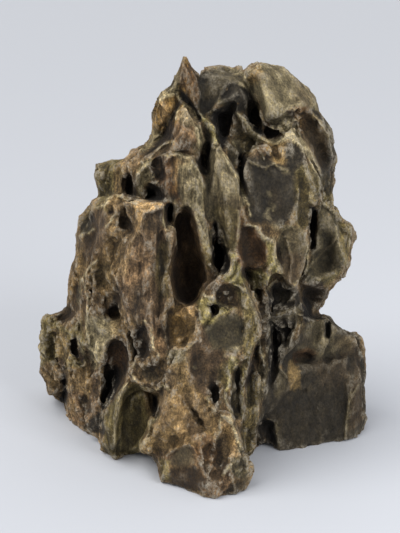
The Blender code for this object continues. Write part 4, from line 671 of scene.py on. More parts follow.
def raise_crests(obj):
    """Lifts the crests of the show side along their lines."""
    points = points_of(obj)
    across, up, rays, far = on_sheet(points)
    seen = seen_spots(obj, points, far, CREST_SLACK)
    lift = np.zeros(len(points))
    wander = line_wander(points)
    thin = [dict(line=line, height=THIN_HEIGHT, width=THIN_WIDTH)
            for lines in THIN_CRESTS.values() for line in lines]
    for crest in CRESTS + thin:
        part = near_outline(across, up, crest["line"], crest["width"])
        for start, end in zip(crest["line"], crest["line"][1:]):
            away = -depth_inside(across[part] + wander[part], up[part], [start, end])
            slope = np.clip(1 - np.abs(away) / crest["width"], 0, 1)
            lift[part] = np.maximum(lift[part], crest["height"] * slope ** 1.4)
    set_points(obj, points - rays * (lift * seen)[:, None])


def narrow_horn(obj, low, high, left, right):
    """Draws both sides of the horn together from low up to high on the sheet."""
    points = points_of(obj)
    across, up = on_sheet(points)[:2]
    aside = across - HORN_MIDDLE
    share = np.where(aside < 0, left, right) * fade(up, low, high)
    points[:, 0] -= aside * share * (np.abs(aside) < HORN_REACH)
    set_points(obj, points)


def flatten_facets(obj):
    """Makes each broken face nearly plane, up to its outline."""
    points = points_of(obj)
    across, up, rays, far = on_sheet(points)
    seen = seen_spots(obj, points, far, SEEN_SLACK)
    for outline in FACETS:
        part = near_outline(across, up, outline, 0)
        part = part[seen[part]]
        inside = depth_inside(across[part], up[part], outline)
        part, inside = part[inside > 0], inside[inside > 0]
        level = np.abs(far[part] - np.median(far[part])) < FACET_DEPTH
        part, inside = part[level], inside[level]
        terms = np.stack([across[part], up[part], np.ones(len(part))], axis=1)
        plane = terms @ np.linalg.lstsq(terms, far[part], rcond=None)[0]
        share = FACET_SHARE * np.clip(inside / FACET_EDGE, 0, 1)
        points[part] += rays[part] * ((plane - far[part]) * share)[:, None]
    set_points(obj, points)


def region_share(points, normals, regions, elsewhere):
    """How far each spot belongs to some regions, from 0 to 1. elsewhere holds for other sides."""
    across, up, rays, far = on_sheet(points)
    share = np.zeros(len(points))
    for strength, outline in regions:
        part = near_outline(across, up, outline, REGION_FADE)
        inside = depth_inside(across[part], up[part], outline)
        share[part] = np.maximum(share[part], strength * np.clip(inside / REGION_FADE + 0.5, 0, 1))
    shown = np.clip(-3 * (normals * rays).sum(axis=1), 0, 1)
    return share * shown + elsewhere * (1 - shown)


def roughness_of(points, normals):
    """How rough each spot is: less where the show side is calm and in patches of the other sides."""
    patches = OTHER_CALM * fade(sampled(points, 34, 1.4, 9), -0.05, 0.25)
    return 1 - region_share(points, normals, CALM, patches)


def cells(points, size, stretch, seed):
    """Two reliefs from one set of upright cells: bowls that meet in sharp crests, and tilted facets.

    Bowls run from -0.7 in a bowl to 0.3 on a crest, facets from about -0.5 to 0.5.
    """
    warp = sampled(points, size * 1.6, stretch, seed + 1)
    bowl = np.empty(len(points))
    facet = np.empty(len(points))
    for i, (x, y, z) in enumerate(points):
        place = Vector((x / size + warp[i], y / size - warp[i], z / (size * stretch) + 0.6 * warp[i]))
        place += Vector((seed, 2 * seed, 3 * seed))
        (near, next_near), (middle, _) = (part[:2] for part in noise.voronoi(place))
        bowl[i] = (2 * near / (near + next_near)) ** 2.2 - 0.7
        facet[i] = (place - middle).dot(noise.noise_vector(3.7 * middle))
    return bowl, facet


def carve_cells(obj):
    """Covers the stone with bowls and tilted faces, except where it is calm."""
    points = points_of(obj)
    normals = normals_of(obj)
    rough = roughness_of(points, normals)
    uneven = np.clip(1 + 1.2 * sampled(points, 30, 1, 10), 0.4, 1.6)
    move = np.zeros(len(points))
    for kind in CELLS:
        bowl, facet = cells(points, kind["size"], kind["stretch"], kind["seed"])
        share = kind["calm"] + kind["rough"] * rough
        move += (kind["bowl"] * bowl + kind["facet"] * facet) * share * uneven
    facet = cells(points, CALM_CELLS["size"], CALM_CELLS["stretch"], CALM_CELLS["seed"])[1]
    move += CALM_CELLS["facet"] * facet * (1 - rough)
    set_points(obj, points + normals * move[:, None])


def weather_skin(obj):
    """Adds flutes and crust, each where it belongs, and keeps where the skin is fluted and rough."""
    points = points_of(obj)
    normals = normals_of(obj)
    crusted = region_share(points, normals, CRUSTED, OTHER_CRUST)
    fluted = region_share(points, normals, FLUTED, OTHER_FLUTES)
    flutes = np.abs(sampled(points, 4.6, 7.0, 17)) + 0.5 * np.abs(sampled(points, 2.2, 6.0, 18))
    move = (1.0 - 3.2 * flutes) * FLUTE_HEIGHT * fluted
    for height, size, bare, seed in CRUMBS:
        move += height * sampled(points, size, 1.3, seed) * (bare + crusted)
    set_points(obj, points + normals * move[:, None])
    store(obj, "streak", fluted)
    store(obj, "rough", roughness_of(points, normals))


def keep_in_box(obj):
    """Keeps the stone within the box of the solid it replaces, and its feet level."""
    low, high = (np.array(corner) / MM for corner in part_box("dragon_stone"))
    set_points(obj, np.clip(points_of(obj), low, high))


def copy_of_solid():
    """A copy of the solid, with its loose triangles joined and nothing on its surface."""
    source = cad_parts["dragon_stone"]
    stone = bpy.data.objects.new("weathered_stone", source.data.copy())
    bpy.context.scene.collection.objects.link(stone)
    stone.data.materials.clear()
    mesh = bmesh.new()
    mesh.from_mesh(stone.data)
    bmesh.ops.remove_doubles(mesh, verts=mesh.verts, dist=0.00001)
    mesh.to_mesh(stone.data)
    mesh.free()
    for layer in list(stone.data.uv_layers):
        stone.data.uv_layers.remove(layer)
    return stone


def carved_stone():
    """The whole shape, from large forms to small ones."""
    stone = copy_of_solid()
    remesh(stone, ROUGH_VOXEL)
    set_points(stone, softened(points_of(stone), edges_of(stone), SMOOTHING))
    narrow_horn(stone, **HORN_BODY)
    flatten_facets(stone)
    carve_pits(stone)
    remesh(stone, FINE_VOXEL)
    carve_cells(stone)
    chisel(stone, **CHISEL)
    raise_crests(stone)
    sharpen(stone, **SHARPEN)
    weather_skin(stone)
    narrow_horn(stone, **HORN_TIP)
    thin_out(stone)
    keep_in_box(stone)
    return stone


# Ground colours, as they look in soft light.
TONES = {
    "black": (32, 25, 18),
    "umber": (60, 47, 33),
    "earth": (78, 62, 43),
    "rust": (104, 78, 54),
    "clay": (124, 105, 81),
    "tan": (149, 126, 93),
    "sand": (190, 161, 124),
    "ochre": (138, 112, 70),
    "honey": (160, 137, 100),
    "crust": (156, 134, 108),
    "blush": (148, 122, 98),
    "plum": (106, 88, 72),
    "dusk": (80, 68, 55),
    "slate": (66, 60, 52),
    "night": (50, 46, 41),
    "stone": (86, 80, 65),
    "grey": (108, 100, 83),
    "ash": (133, 125, 106),
    "pale": (162, 153, 130),
    "chalk": (190, 180, 156),
    "olive": (94, 84, 56),
    "bog": (66, 58, 39),
    "fern": (122, 112, 78),
    "moss": (150, 142, 100),
}

# Outlines that two coats follow.
CHEEK_SIDE = [(-76, 20), (-68, 22), (-66, 4), (-72, 0), (-77, 6)]
HORN_FLANK = [(-11, 133), (-6, 132), (-2, 126), (-1, 110), (-2, 103), (-8, 112), (-12, 118)]
MIDDLE_DOME = [(3, 122), (8, 127), (14, 129), (20, 126), (26, 124), (30, 119), (24, 120), (18, 119),
               (13, 111), (8, 103), (2, 106), (1, 116)]
# The underside of the toe, laid darker in coats as painted shade.
TOE_PAINTED_SHADE = [(-20, -131), (-10, -131), (-3, -131), (0, -135), (4, -140), (-4, -143), (-20, -141)]
BULGE_FACE = [(72, 0), (88, 20), (93, 4), (86, -6), (74, -8)]

# The ground of the show side, laid down in this order: tone, strength, softness of the edge,
# and the outline on the sheet.
GROUNDS = [
    ("clay", 1, 1, [(-140, -180), (140, -180), (140, 180), (-140, 180)]),
    # left shelf and arch
    ("fern", 1, 1, [(-70, 56), (-67, 68), (-56, 71), (-50, 70), (-50, 44), (-66, 42), (-66, 54)]),
    ("olive", 1, 2, [(-70, 55), (-68, 68), (-57, 70), (-57, 60), (-63, 55)]),
    ("tan", 0.8, 2, [(-56, 66), (-52, 70), (-50, 66), (-50, 48), (-56, 46), (-57, 56)]),
    ("crust", 0.9, 2, [(-51, 68), (-46, 74), (-42, 79), (-36, 74), (-38, 66), (-46, 62), (-51, 62)]),
    ("rust", 0.5, 2, [(-44, 78), (-38, 76), (-37, 70), (-43, 70)]),
    ("pale", 0.9, 1.5, [(-42, 60), (-38, 68), (-31, 71), (-29, 60), (-31, 56), (-35, 54), (-37, 47),
                        (-41, 44)]),
    ("earth", 1, 1.5, [(-51.5, 60), (-45, 62), (-41.5, 58), (-41, 44), (-48, 44), (-51.5, 50)]),
    ("umber", 1, 1.5, [(-46, 55), (-42, 57), (-41, 44), (-46, 44), (-47, 49)]),
    # horn and blade
    ("ochre", 1, 1.5, [(-31, 106), (-22, 118), (-18, 126), (-11, 140), (0, 132), (0, 104), (-8, 104),
                       (-12, 80), (-32, 80)]),
    ("sand", 0.8, 2, [(-26, 106), (-22, 108), (-20, 98), (-24, 88), (-26, 94)]),
    ("pale", 0.9, 1.5, [(-32, 106), (-30, 114), (-23, 118), (-16, 120), (-13, 113), (-17, 112),
                        (-24, 108)]),
    ("ash", 0.9, 1.5, [(-25, 114), (-20, 127), (-13, 140), (-10, 138), (-12, 130), (-13, 122),
                       (-16, 116), (-20, 114)]),
    ("umber", 0.9, 0.7, [(-21, 123), (-17, 124), (-17, 119), (-20, 116), (-22, 117)]),
    ("plum", 0.8, 1.5, [(-14, 130), (-11, 135), (-9, 128), (-10, 118), (-13, 118)]),
    ("rust", 0.6, 1.5, [(-6, 132), (-2, 128), (-1, 112), (-4, 112), (-6, 122)]),
    ("rust", 0.7, 1.5, [(-9, 130), (-6, 130), (-5, 116), (-8, 113)]),
    ("umber", 1, 1.2, [(-14, 110), (-11, 107), (-14, 101), (-17, 96), (-16, 84), (-22, 80), (-33, 72),
                       (-37, 72), (-27, 83), (-21, 92), (-17, 101)]),
    ("pale", 0.9, 1.5, [(-31, 90), (-27, 88), (-24, 85), (-32, 77), (-38, 73), (-40, 76), (-33, 82)]),
    # tongue
    ("blush", 1, 1, [(-13, 102), (-10, 106), (-5, 104), (-1, 97), (2, 88), (3.5, 79), (3, 73), (-3, 75),
                     (-8, 73), (-15, 74), (-18, 80), (-16, 92)]),
    ("chalk", 0.55, 2, [(-13, 102), (-9, 106), (-4, 103), (-2, 94), (-8, 90), (-14, 94)]),
    # Darker lower part of the tongue: partly its browner stone, partly painted shade.
    ("umber", 0.9, 2, [(-18, 84), (-8, 86), (-4, 78), (-7, 73), (-15, 74)]),
    ("chalk", 1, 1.5, [(-4, 92), (0, 92), (3, 82), (3, 74), (0, 76), (-2, 84)]),
    ("stone", 0.8, 1.5, [(-5, 82), (-1, 78), (1, 74), (-3, 73), (-6, 76)]),
    # crevices beside the tongue, and the thin ridge
    ("black", 1, 0.8, [(-13, 115), (-9, 113), (-3, 104), (1, 98), (1.5, 91), (-1, 96), (-5, 103),
                       (-10, 107), (-13, 108)]),
    ("bog", 1, 1, [(1.5, 96), (5, 93), (9, 86), (8, 79), (9, 70), (7, 60), (3, 58), (2, 68), (4, 78),
                   (3, 86)]),
    ("black", 0.9, 1, [(-3, 71), (2, 72), (3, 62), (5, 59), (1, 60), (-2, 66)]),
    ("moss", 1, 0.8, [(0, 99), (3, 98), (9, 91.5), (12, 86), (14.5, 79), (12, 77), (8, 81), (7, 88),
                      (2, 95)]),
    # middle dome
    ("stone", 1, 1.5, [(-2, 124), (4, 128), (14, 131), (28, 126), (34, 114), (32, 100), (24, 100),
                       (10, 105), (3, 97), (-2, 104)]),
    ("night", 0.9, 3, [(-2, 124), (5, 127), (13, 128), (13, 112), (8, 102), (2, 97), (-1, 103)]),
    # Painted shade on the plane above the middle dome's dark socket.
    ("night", 1, 2.5, [(14, 119), (21, 121), (29, 116), (34, 110), (33, 101), (26, 99), (20, 104),
                       (11, 108)]),
    ("ash", 0.9, 2, [(9, 131), (20, 129), (28, 126), (33, 114), (28, 117), (22, 121), (14, 122)]),
    ("chalk", 0.6, 1.5, [(20, 129), (27, 127), (33, 115), (28, 117), (24, 122)]),
    # Painted shadow in the socket under the middle dome's overhang.
    ("black", 1, 2, [(5, 98), (10, 104), (20, 105), (25, 99), (19, 94), (18, 86), (19, 79), (14, 76),
                     (12, 82), (9, 91)]),
    ("ash", 0.7, 0.8, [(5, 95), (7, 101), (9, 104), (8, 99)]),
    # ridge right of the dome's hollow
    ("olive", 1, 2, [(24, 100), (30, 95), (38, 86), (41, 82), (36, 76), (28, 72), (20, 78), (20, 88)]),
    ("pale", 0.9, 1, [(23, 100), (27, 99), (33, 93.5), (38, 87), (42, 82), (37, 80), (33, 84), (30, 91)]),
    ("chalk", 0.8, 0.7, [(20, 82), (26, 82), (26, 80), (21, 79.5)]),
    ("stone", 0.9, 1.5, [(18, 79), (27, 79), (30, 74), (26, 70), (22, 63), (18, 70)]),
    ("bog", 1, 1.5, [(30, 108), (36, 107), (40, 98), (40, 91), (34, 96), (29, 101)]),
    ("black", 1, 1, [(27, 100), (32, 100), (37, 92), (41, 88), (40, 83.5), (34, 90), (28, 97)]),
    ("umber", 0.9, 1, [(29, 121), (33, 117), (36, 110), (34, 109), (31, 116), (29, 118)]),
    # dome
    ("ash", 1, 1, [(29, 120), (30, 127), (40, 133), (58, 131), (76, 113), (78, 99), (71, 103), (62, 104),
                   (55, 101), (60, 97), (62, 89), (66, 82), (55, 86), (42, 95), (39, 105), (34, 115)]),
    ("grey", 0.7, 4, [(40, 128), (48, 128), (49, 116), (42, 115)]),
    ("pale", 0.5, 4, [(38, 118), (48, 114), (52, 104), (46, 98), (40, 104)]),
    ("plum", 0.3, 4, [(62, 122), (74, 110), (70, 102), (60, 108)]),
    ("honey", 0.9, 2, [(31, 122), (35, 130), (40, 131), (39, 120), (33, 118)]),
    ("bog", 0.6, 1.2, [(36, 124), (40, 124), (40, 119), (37, 119)]),
    ("stone", 0.7, 2, [(42, 96), (50, 98), (54, 94), (50, 90), (44, 92)]),
    ("chalk", 0.8, 1.5, [(50, 91), (56, 95), (61, 95), (63, 88), (60, 86), (54, 86)]),
    ("umber", 0.9, 0.8, [(56.5, 117.5), (58, 118), (59, 115), (57.5, 115)]),
    ("earth", 1, 1, [(41, 84), (42, 93), (44, 96), (46, 91), (52, 89), (54, 85), (50, 80)]),
    ("umber", 0.8, 1.5, [(42, 92), (46, 90), (50, 84), (46, 82), (42, 86)]),
    # right rim
    ("slate", 1, 1.2, [(59, 103), (71, 104), (80, 98), (87, 90), (90, 68), (86, 58), (79, 60), (73, 73),
                       (66, 83), (62, 92)]),
    ("rust", 1, 1.5, [(60, 103), (69, 104), (71, 97), (69, 88), (64, 87), (61, 96)]),
    ("ochre", 0.7, 2, [(61, 96), (67, 97), (70, 90), (64, 88)]),
    ("umber", 1, 0.8, [(55, 101), (60, 102), (61, 97), (58, 98)]),
    ("stone", 0.8, 2, [(80, 97), (86, 90), (88, 72), (84, 74), (83, 86)]),
    ("night", 0.7, 2, [(70, 92), (78, 88), (82, 76), (80, 64), (76, 70), (70, 80)]),
    ("pale", 0.9, 0.8, [(71, 100), (76, 98), (82, 88), (84, 82), (81, 88), (75, 95)]),
    ("bog", 1, 1.5, [(77, 60), (86, 60), (87, 44), (79, 39), (76, 48)]),
    ("fern", 0.8, 2, [(79, 47), (86, 48), (94, 30), (86, 34), (79, 39)]),
    # slate shield
    ("slate", 1, 1, [(29, 71), (36, 72), (46, 70), (53, 66), (58, 64), (63, 56), (64, 44), (60, 32),
                     (54, 26), (38, 26), (32, 30), (31, 42), (29, 56)]),
    ("night", 0.5, 9, [(33, 62), (44, 68), (58, 60), (60, 42), (48, 32), (34, 36)]),
    ("slate", 0.6, 1.5, [(30, 70), (38, 71), (46, 68), (46, 66), (38, 68), (31, 64)]),
    ("pale", 0.7, 0.8, [(52, 65), (55, 64), (58, 62), (58, 60), (54, 61)]),
    ("dusk", 0.5, 3, [(42, 50), (50, 51), (53, 42), (50, 29), (43, 29), (44, 40)]),
    ("slate", 1, 1.5, [(55, 82), (61, 81), (67, 76), (70, 68), (66, 60), (61, 58), (56, 66), (54, 74)]),
    ("fern", 0.75, 2, [(62, 60), (67, 66), (74, 68), (78, 60), (77, 42), (71, 40), (70, 26), (64, 22),
                       (61, 30), (63, 46)]),
    ("ash", 0.4, 2, [(68, 62), (76, 60), (76, 44), (70, 42)]),
    ("bog", 0.6, 1.5, [(64, 58), (68, 58), (68, 48), (64, 42)]),
    ("chalk", 0.9, 1, [(40, 84), (46, 81.5), (54, 85), (60, 89), (67, 82), (72, 75.5), (78, 63),
                       (75, 61), (70, 70), (64, 78), (58, 82), (54, 80), (50, 79), (43, 80)]),
    ("honey", 1, 1.2, [(44, 81), (50, 79), (56, 82), (55, 72), (54, 66), (49, 67), (46, 71), (44, 75)]),
    ("sand", 0.9, 1.5, [(46, 78), (51, 78), (53, 70), (47, 71)]),
    ("plum", 0.8, 1, [(36, 79), (40, 81), (44, 78), (44, 73), (39, 70), (36, 72)]),
    ("umber", 1, 0.8, [(38, 74), (42, 73), (47, 73), (47, 70), (40, 70)]),
    ("black", 1, 0.6, [(24.5, 72), (27, 74), (29.5, 72), (29, 62), (30, 52), (29, 46), (26, 48),
                       (23.5, 62)]),
    # pale shield
    ("grey", 1, 0.8, [(8, 79), (13, 77), (18, 70), (23, 63), (28, 51), (31, 41), (26, 38), (24, 24),
                      (23, 8), (19, 8), (15, 22), (9, 29), (4, 30), (2, 42), (3, 58), (6, 66)]),
    ("pale", 0.2, 3, [(9, 76), (14, 74), (22, 60), (26, 48), (14, 46), (5, 56)]),
    ("fern", 0.7, 3, [(6, 38), (14, 40), (25, 38), (24, 24), (22, 8), (18, 12), (12, 28)]),
    ("grey", 0.6, 2, [(3, 58), (7, 58), (9, 44), (8, 32), (4, 34)]),
    # Pale right rim of the shield: partly crust, partly a painted highlight.
    ("chalk", 0.8, 0.6, [(21, 63), (24, 61), (31, 42), (29, 41), (25, 54)]),
    # central column
    ("rust", 1, 1, [(-33, 62), (-29, 72), (-18, 74), (-13, 66), (-12, 50), (-13, 40), (-24, 40),
                    (-26, 52)]),
    ("tan", 0.5, 1.5, [(-18, 72), (-13, 68), (-12, 52), (-15, 48), (-18, 58)]),
    ("umber", 0.95, 1.5, [(-34, 64), (-31, 70), (-25, 73), (-22, 71), (-24, 62), (-27, 56), (-31, 60)]),
    ("ash", 1, 1.5, [(-14, 66), (-5, 69), (1, 61), (3, 50), (2, 38), (-3, 36), (-12, 38), (-14, 48)]),
    ("ash", 0.6, 1, [(-25, 73), (-17, 75), (-6, 72), (0, 64), (-2, 62), (-9, 66), (-16, 71)]),
    ("chalk", 0.4, 2, [(-9, 58), (-2, 58), (0, 48), (-6, 42), (-9, 48)]),
    ("bog", 0.8, 0.6, [(2, 51), (3, 50), (3.5, 38), (4, 30), (2.5, 34)]),
    ("umber", 1, 1, [(-37, 50), (-34, 54), (-28, 56), (-23, 52), (-15, 46), (-15, 42), (-24, 41.5),
                     (-34, 42)]),
    ("black", 0.9, 1.2, [(-36, 49), (-32, 52), (-26, 50), (-22, 42), (-34, 42)]),
    ("ash", 0.8, 0.6, [(-24, 42.5), (-20, 44), (-15, 42), (-16, 40.5), (-20, 42)]),
    ("olive", 0.7, 1.5, [(-17, 42), (-12, 40), (-14, 28), (-18, 28), (-19, 34)]),
    # great hollow, and the strip between it and the black hollow
    ("clay", 1, 1, [(-16, 34), (-9, 39), (-3, 34), (0, 20), (5, 2), (6, -10), (3, -20), (-6, -25),
                    (-14, -23), (-20, -12), (-20, 2), (-17, 20)]),
    ("earth", 0.7, 4, [(-15, 32), (-9, 36), (-5, 30), (-5, 10), (-2, -8), (-6, -23), (-14, -22),
                       (-19, -8), (-18, 8)]),
    # Painted shade on the left wall of the great hollow.
    ("umber", 0.8, 3, [(-16, 20), (-12, 30), (-11, 8), (-12, -8), (-11, -20), (-19, -12), (-18, 4)]),
    # Painted shade across the bottom of the great hollow.
    ("umber", 0.8, 1.5, [(-20, -6), (-12, -12), (-4, -14), (0, -21), (-6, -25), (-14, -23)]),
    ("plum", 0.7, 2.5, [(1, -2), (7, -1), (12, -7), (15, -9), (13, -15), (8, -18), (3, -16), (0, -10)]),
    ("ash", 1, 1, [(-4, 36), (2, 38), (4, 28), (8, 20), (8.5, 6), (6, 6), (1, 14), (-2, 26)]),
    ("fern", 0.7, 2, [(0, 14), (8, 16), (9, 0), (5, -2), (2, 4)]),
    ("black", 1, 0.6, [(8, 28), (7.5, 14), (7.7, 4), (9.5, -1), (12, -5), (15, -6.3), (18.5, -4),
                       (20.3, 1), (19.3, 7), (17, 13), (14.5, 20), (12, 27), (10, 29)]),
    ("black", 1, 0.6, [(-24, 38), (-22, 41), (-18, 42), (-16.5, 38), (-18, 33), (-20, 28), (-22, 24),
                       (-23.5, 30)]),
    # purple column and its green flute
    ("plum", 1, 1.5, [(-39, 36), (-24, 39), (-21, 26), (-18, 24), (-18, 10), (-20, -8), (-22, -28),
                      (-24, -46), (-30, -54), (-34, -40), (-44, -30), (-47, -40), (-52, -14), (-58, -5),
                      (-49, 0), (-48, 14), (-41, 22)]),
    ("dusk", 0.8, 1.5, [(-38, 34), (-29, 37), (-25, 38), (-23, 26), (-27, 23), (-38, 22)]),
    ("blush", 0.6, 4, [(-46, 14), (-34, 14), (-32, 0), (-40, -16), (-50, -12), (-56, -4), (-48, 2)]),
    ("crust", 0.9, 1.2, [(-40, 26), (-46, 19), (-48, 10), (-49, 2), (-58, -4), (-55, -9), (-48, -6),
                         (-45, 6), (-44, 16), (-38, 22)]),
    ("olive", 0.8, 2, [(-29, 14), (-21, 18), (-20, 0), (-20, -20), (-26, -22), (-29, -8)]),
    ("bog", 0.7, 1.5, [(-27, 4), (-24, 4), (-23, -20), (-27, -20)]),
    ("stone", 0.5, 1.2, [(-22, 24), (-16, 28), (-18, 10), (-20, 0), (-21, 12)]),
    ("dusk", 0.6, 2, [(-44, -14), (-36, -10), (-36, -26), (-42, -40), (-46, -34)]),
    # ledge and cheek
    ("tan", 0.6, 3, [(-62, 40), (-54, 30), (-52, 18), (-48, 10), (-52, -2), (-57, -10), (-62, -24),
                     (-72, -24), (-75, -8), (-70, 4), (-62, 8), (-61, 24)]),
    ("plum", 0.8, 2.5, [(-72, 22), (-67, 40), (-61, 38), (-60, 20), (-64, 10), (-72, 2), (-77, 10)]),
    ("olive", 0.5, 3, [(-70, 2), (-58, 4), (-58, -12), (-66, -16), (-72, -8)]),
    ("fern", 0.6, 2, [(-66, 42), (-60, 42), (-60, 36), (-70, 38), (-76, 30), (-74, 36)]),
    # The ledge top: partly its pale sand, partly painted light where it faces up.
    ("sand", 1, 1, [(-46, 42.5), (-38, 43), (-24, 41), (-27, 37.5), (-36, 35.5), (-40, 30), (-41, 35),
                    (-44, 39)]),
    ("ochre", 0.9, 1.5, [(-44, 39), (-40, 38), (-38, 32), (-39, 24), (-43, 22)]),
    ("sand", 0.8, 1, [(-41, 34), (-37, 35), (-39, 28), (-40, 22), (-42, 24)]),
    ("clay", 1, 1.5, [(-53, 38), (-47, 41), (-43, 38), (-41.5, 28), (-43, 21), (-49, 19), (-54, 27)]),
    ("earth", 0.8, 2, [(-52, 30), (-46, 32), (-43, 26), (-44, 21), (-50, 20)]),
    ("tan", 0.9, 1, [(-61, 39), (-57, 47), (-53, 48.5), (-48, 45.5), (-45, 43), (-50, 43), (-55, 43),
                     (-58, 38)]),
    ("crust", 0.7, 1.5, [(-60, 34), (-56, 34), (-54, 28), (-58, 24), (-61, 28)]),
    ("umber", 1, 0.7, [(-59.5, 36), (-57, 38), (-55.5, 36), (-57, 32.5), (-59.5, 34)]),
    ("bog", 1, 1, [(-78, 30), (-71, 36), (-68, 35), (-69, 24), (-73, 21), (-78, 20)]),
    ("umber", 0.9, 0.8, [(-71, 35), (-68, 36), (-69, 25), (-71, 26)]),
    # flank
    ("tan", 0.9, 1.5, [(-86, -16), (-80, 6), (-76, 18), (-74, 6), (-76, -8), (-80, -14), (-83, -24)]),
    ("earth", 0.9, 1.5, [(-81, -8), (-77, -6), (-77, -26), (-84, -36), (-92, -38), (-98, -34),
                         (-88, -28), (-83, -20)]),
    ("plum", 0.6, 1, [(-77, -4), (-74, -4), (-71, -26), (-73, -34), (-76, -28)]),
    ("earth", 0.7, 2, [(-74, -10), (-66, -14), (-60, -20), (-62, -30), (-70, -26)]),
    ("umber", 0.95, 1, [(-54, -12), (-51, -15), (-51, -24), (-55, -29), (-60, -29), (-56, -20)]),
    ("umber", 0.8, 1.2, [(-65, -29), (-58, -25), (-51, -26), (-50, -30), (-55, -34), (-62, -33)]),
    ("ash", 0.9, 2, [(-75, -32), (-66, -32), (-58, -35), (-56, -46), (-62, -50), (-66, -60), (-73, -52)]),
    ("tan", 0.6, 2, [(-60, -32), (-48, -28), (-45, -46), (-56, -45)]),
    ("honey", 0.5, 1.5, [(-60, -38), (-55, -36), (-53, -44), (-58, -46)]),
    # far wing
    ("fern", 0.9, 2, [(-106, -34), (-98, -29), (-92, -38), (-84, -40), (-77, -32), (-75, -44),
                      (-74, -66), (-86, -68), (-100, -62), (-106, -66)]),
    ("tan", 0.6, 2, [(-96, -40), (-86, -44), (-84, -60), (-94, -60)]),
    ("pale", 0.6, 2, [(-106, -34), (-101, -32), (-101, -60), (-106, -66)]),
    ("clay", 0.9, 1.5, [(-106, -68), (-98, -62), (-89, -68), (-89, -79), (-94, -82), (-97, -86),
                        (-100, -78)]),
    ("honey", 0.4, 2, [(-102, -70), (-94, -68), (-92, -78), (-98, -80)]),
    ("earth", 1, 1, [(-95, -60), (-91, -58), (-88, -61), (-87, -67), (-92, -68)]),
    ("umber", 1, 0.8, [(-84.5, -48), (-80, -44.5), (-77.5, -50), (-75, -58), (-76, -64), (-80, -60),
                       (-84.5, -56)]),
    ("black", 1, 0.8, [(-90, -70), (-86, -70), (-85.5, -84), (-86, -90), (-92, -88), (-89, -80)]),
    # left leg
    ("tan", 0.9, 2, [(-86, -64), (-76, -66), (-70, -66), (-70, -88), (-78, -84), (-86, -80)]),
    ("pale", 0.7, 1.5, [(-74, -42), (-66, -50), (-65, -66), (-70, -68), (-72, -56)]),
    ("plum", 0.9, 1.5, [(-71, -66), (-65, -68), (-65, -92), (-69, -98), (-73, -90), (-71, -78)]),
    ("blush", 0.8, 2, [(-86, -82), (-76, -82), (-70, -96), (-71, -104), (-78, -108), (-86, -98)]),
    ("honey", 0.5, 1.5, [(-86, -86), (-82, -86), (-80, -98), (-84, -98)]),
    ("dusk", 0.9, 1, [(-79, -84), (-74, -84), (-70, -95), (-75, -96)]),
    ("night", 0.9, 1, [(-70, -97), (-62, -94), (-61, -110), (-72, -108), (-76, -104)]),
    # arch hollow and blade
    ("earth", 1, 1.5, [(-63, -60), (-60, -49), (-54, -45.5), (-48, -46), (-45, -54), (-46, -66),
                       (-50, -76), (-56, -90), (-62, -94), (-65, -90), (-64, -76)]),
    ("umber", 0.6, 3, [(-62, -60), (-58, -50), (-52, -50), (-50, -62), (-54, -66), (-62, -70)]),
    ("black", 1, 1, [(-63, -76), (-58, -65), (-55, -63), (-52, -66), (-54, -77), (-58, -88),
                     (-62, -93.5), (-64.5, -91)]),
    ("olive", 1, 1, [(-64, -96), (-57, -89), (-52, -80), (-45, -74.5), (-50, -82), (-53, -96),
                     (-55, -112), (-53, -126), (-60, -127), (-64, -117), (-61, -106)]),
    ("fern", 0.6, 1.5, [(-58, -90), (-53, -86), (-54, -100), (-57, -110), (-60, -100)]),
    ("chalk", 0.85, 0.6, [(-46, -74), (-50, -78), (-53, -86), (-54, -97), (-56, -108), (-55, -121),
                          (-54, -110), (-52, -98), (-50, -84)]),
    ("stone", 0.6, 1.5, [(-62, -116), (-56, -116), (-55, -126), (-60, -126)]),
    # panel
    ("fern", 1, 1, [(-50, -82), (-44, -75), (-36, -78), (-28, -82), (-26, -98), (-33, -104), (-38, -114),
                    (-40, -123), (-54, -123), (-55, -110), (-53, -96)]),
    ("tan", 0.8, 1.5, [(-37, -79), (-28, -81), (-25, -90), (-28, -98), (-34, -100), (-36, -90)]),
    ("stone", 0.4, 3, [(-46, -82), (-40, -82), (-38, -100), (-44, -104)]),
    ("stone", 0.6, 3, [(-52, -104), (-46, -102), (-44, -122), (-54, -122)]),
    ("black", 0.9, 0.8, [(-31, -84), (-28, -84), (-26, -94), (-28, -100), (-31, -97)]),
    # Painted shadow under the lifted arch, along the panel's foot.
    ("black", 0.8, 1, [(-54, -124), (-40, -121.5), (-28, -121), (-26, -134), (-40, -126)]),
    # crust boss, its hollow and the ridge right of it
    ("clay", 1, 1.2, [(-46, -72), (-45, -62), (-38, -59), (-28, -56), (-20, -56), (-15, -64), (-17, -78),
                      (-22, -82), (-30, -80), (-39, -78)]),
    ("stone", 0.6, 1.5, [(-38, -64), (-32, -64), (-26, -72), (-32, -76), (-38, -70)]),
    ("umber", 0.8, 1, [(-34, -60), (-29, -58), (-27, -64), (-31, -69), (-34, -65)]),
    ("dusk", 0.5, 1.5, [(-24, -68), (-17, -66), (-17, -76), (-21, -76)]),
    ("umber", 1, 1, [(-43.5, -46), (-41, -38), (-35, -36.5), (-31.5, -46), (-32, -56), (-36, -62),
                     (-42, -60), (-44, -52)]),
    ("earth", 0.6, 2, [(-38, -42), (-34, -42), (-33, -56), (-37, -56)]),
    ("blush", 0.9, 1, [(-36, -36), (-31, -39), (-26, -44), (-21, -53), (-20, -57), (-27, -59),
                       (-30, -52), (-33, -44)]),
    # ochre cup
    ("tan", 1, 1.2, [(-24, -30), (-18, -25), (-6, -26), (0, -29), (-3, -38), (-4, -48), (-10, -54),
                     (-20, -54), (-23, -44)]),
    # Painted shade on the left wall of the ochre cup.
    ("umber", 0.9, 3, [(-24, -31), (-18, -28), (-15, -38), (-15, -50), (-20, -54), (-23, -44)]),
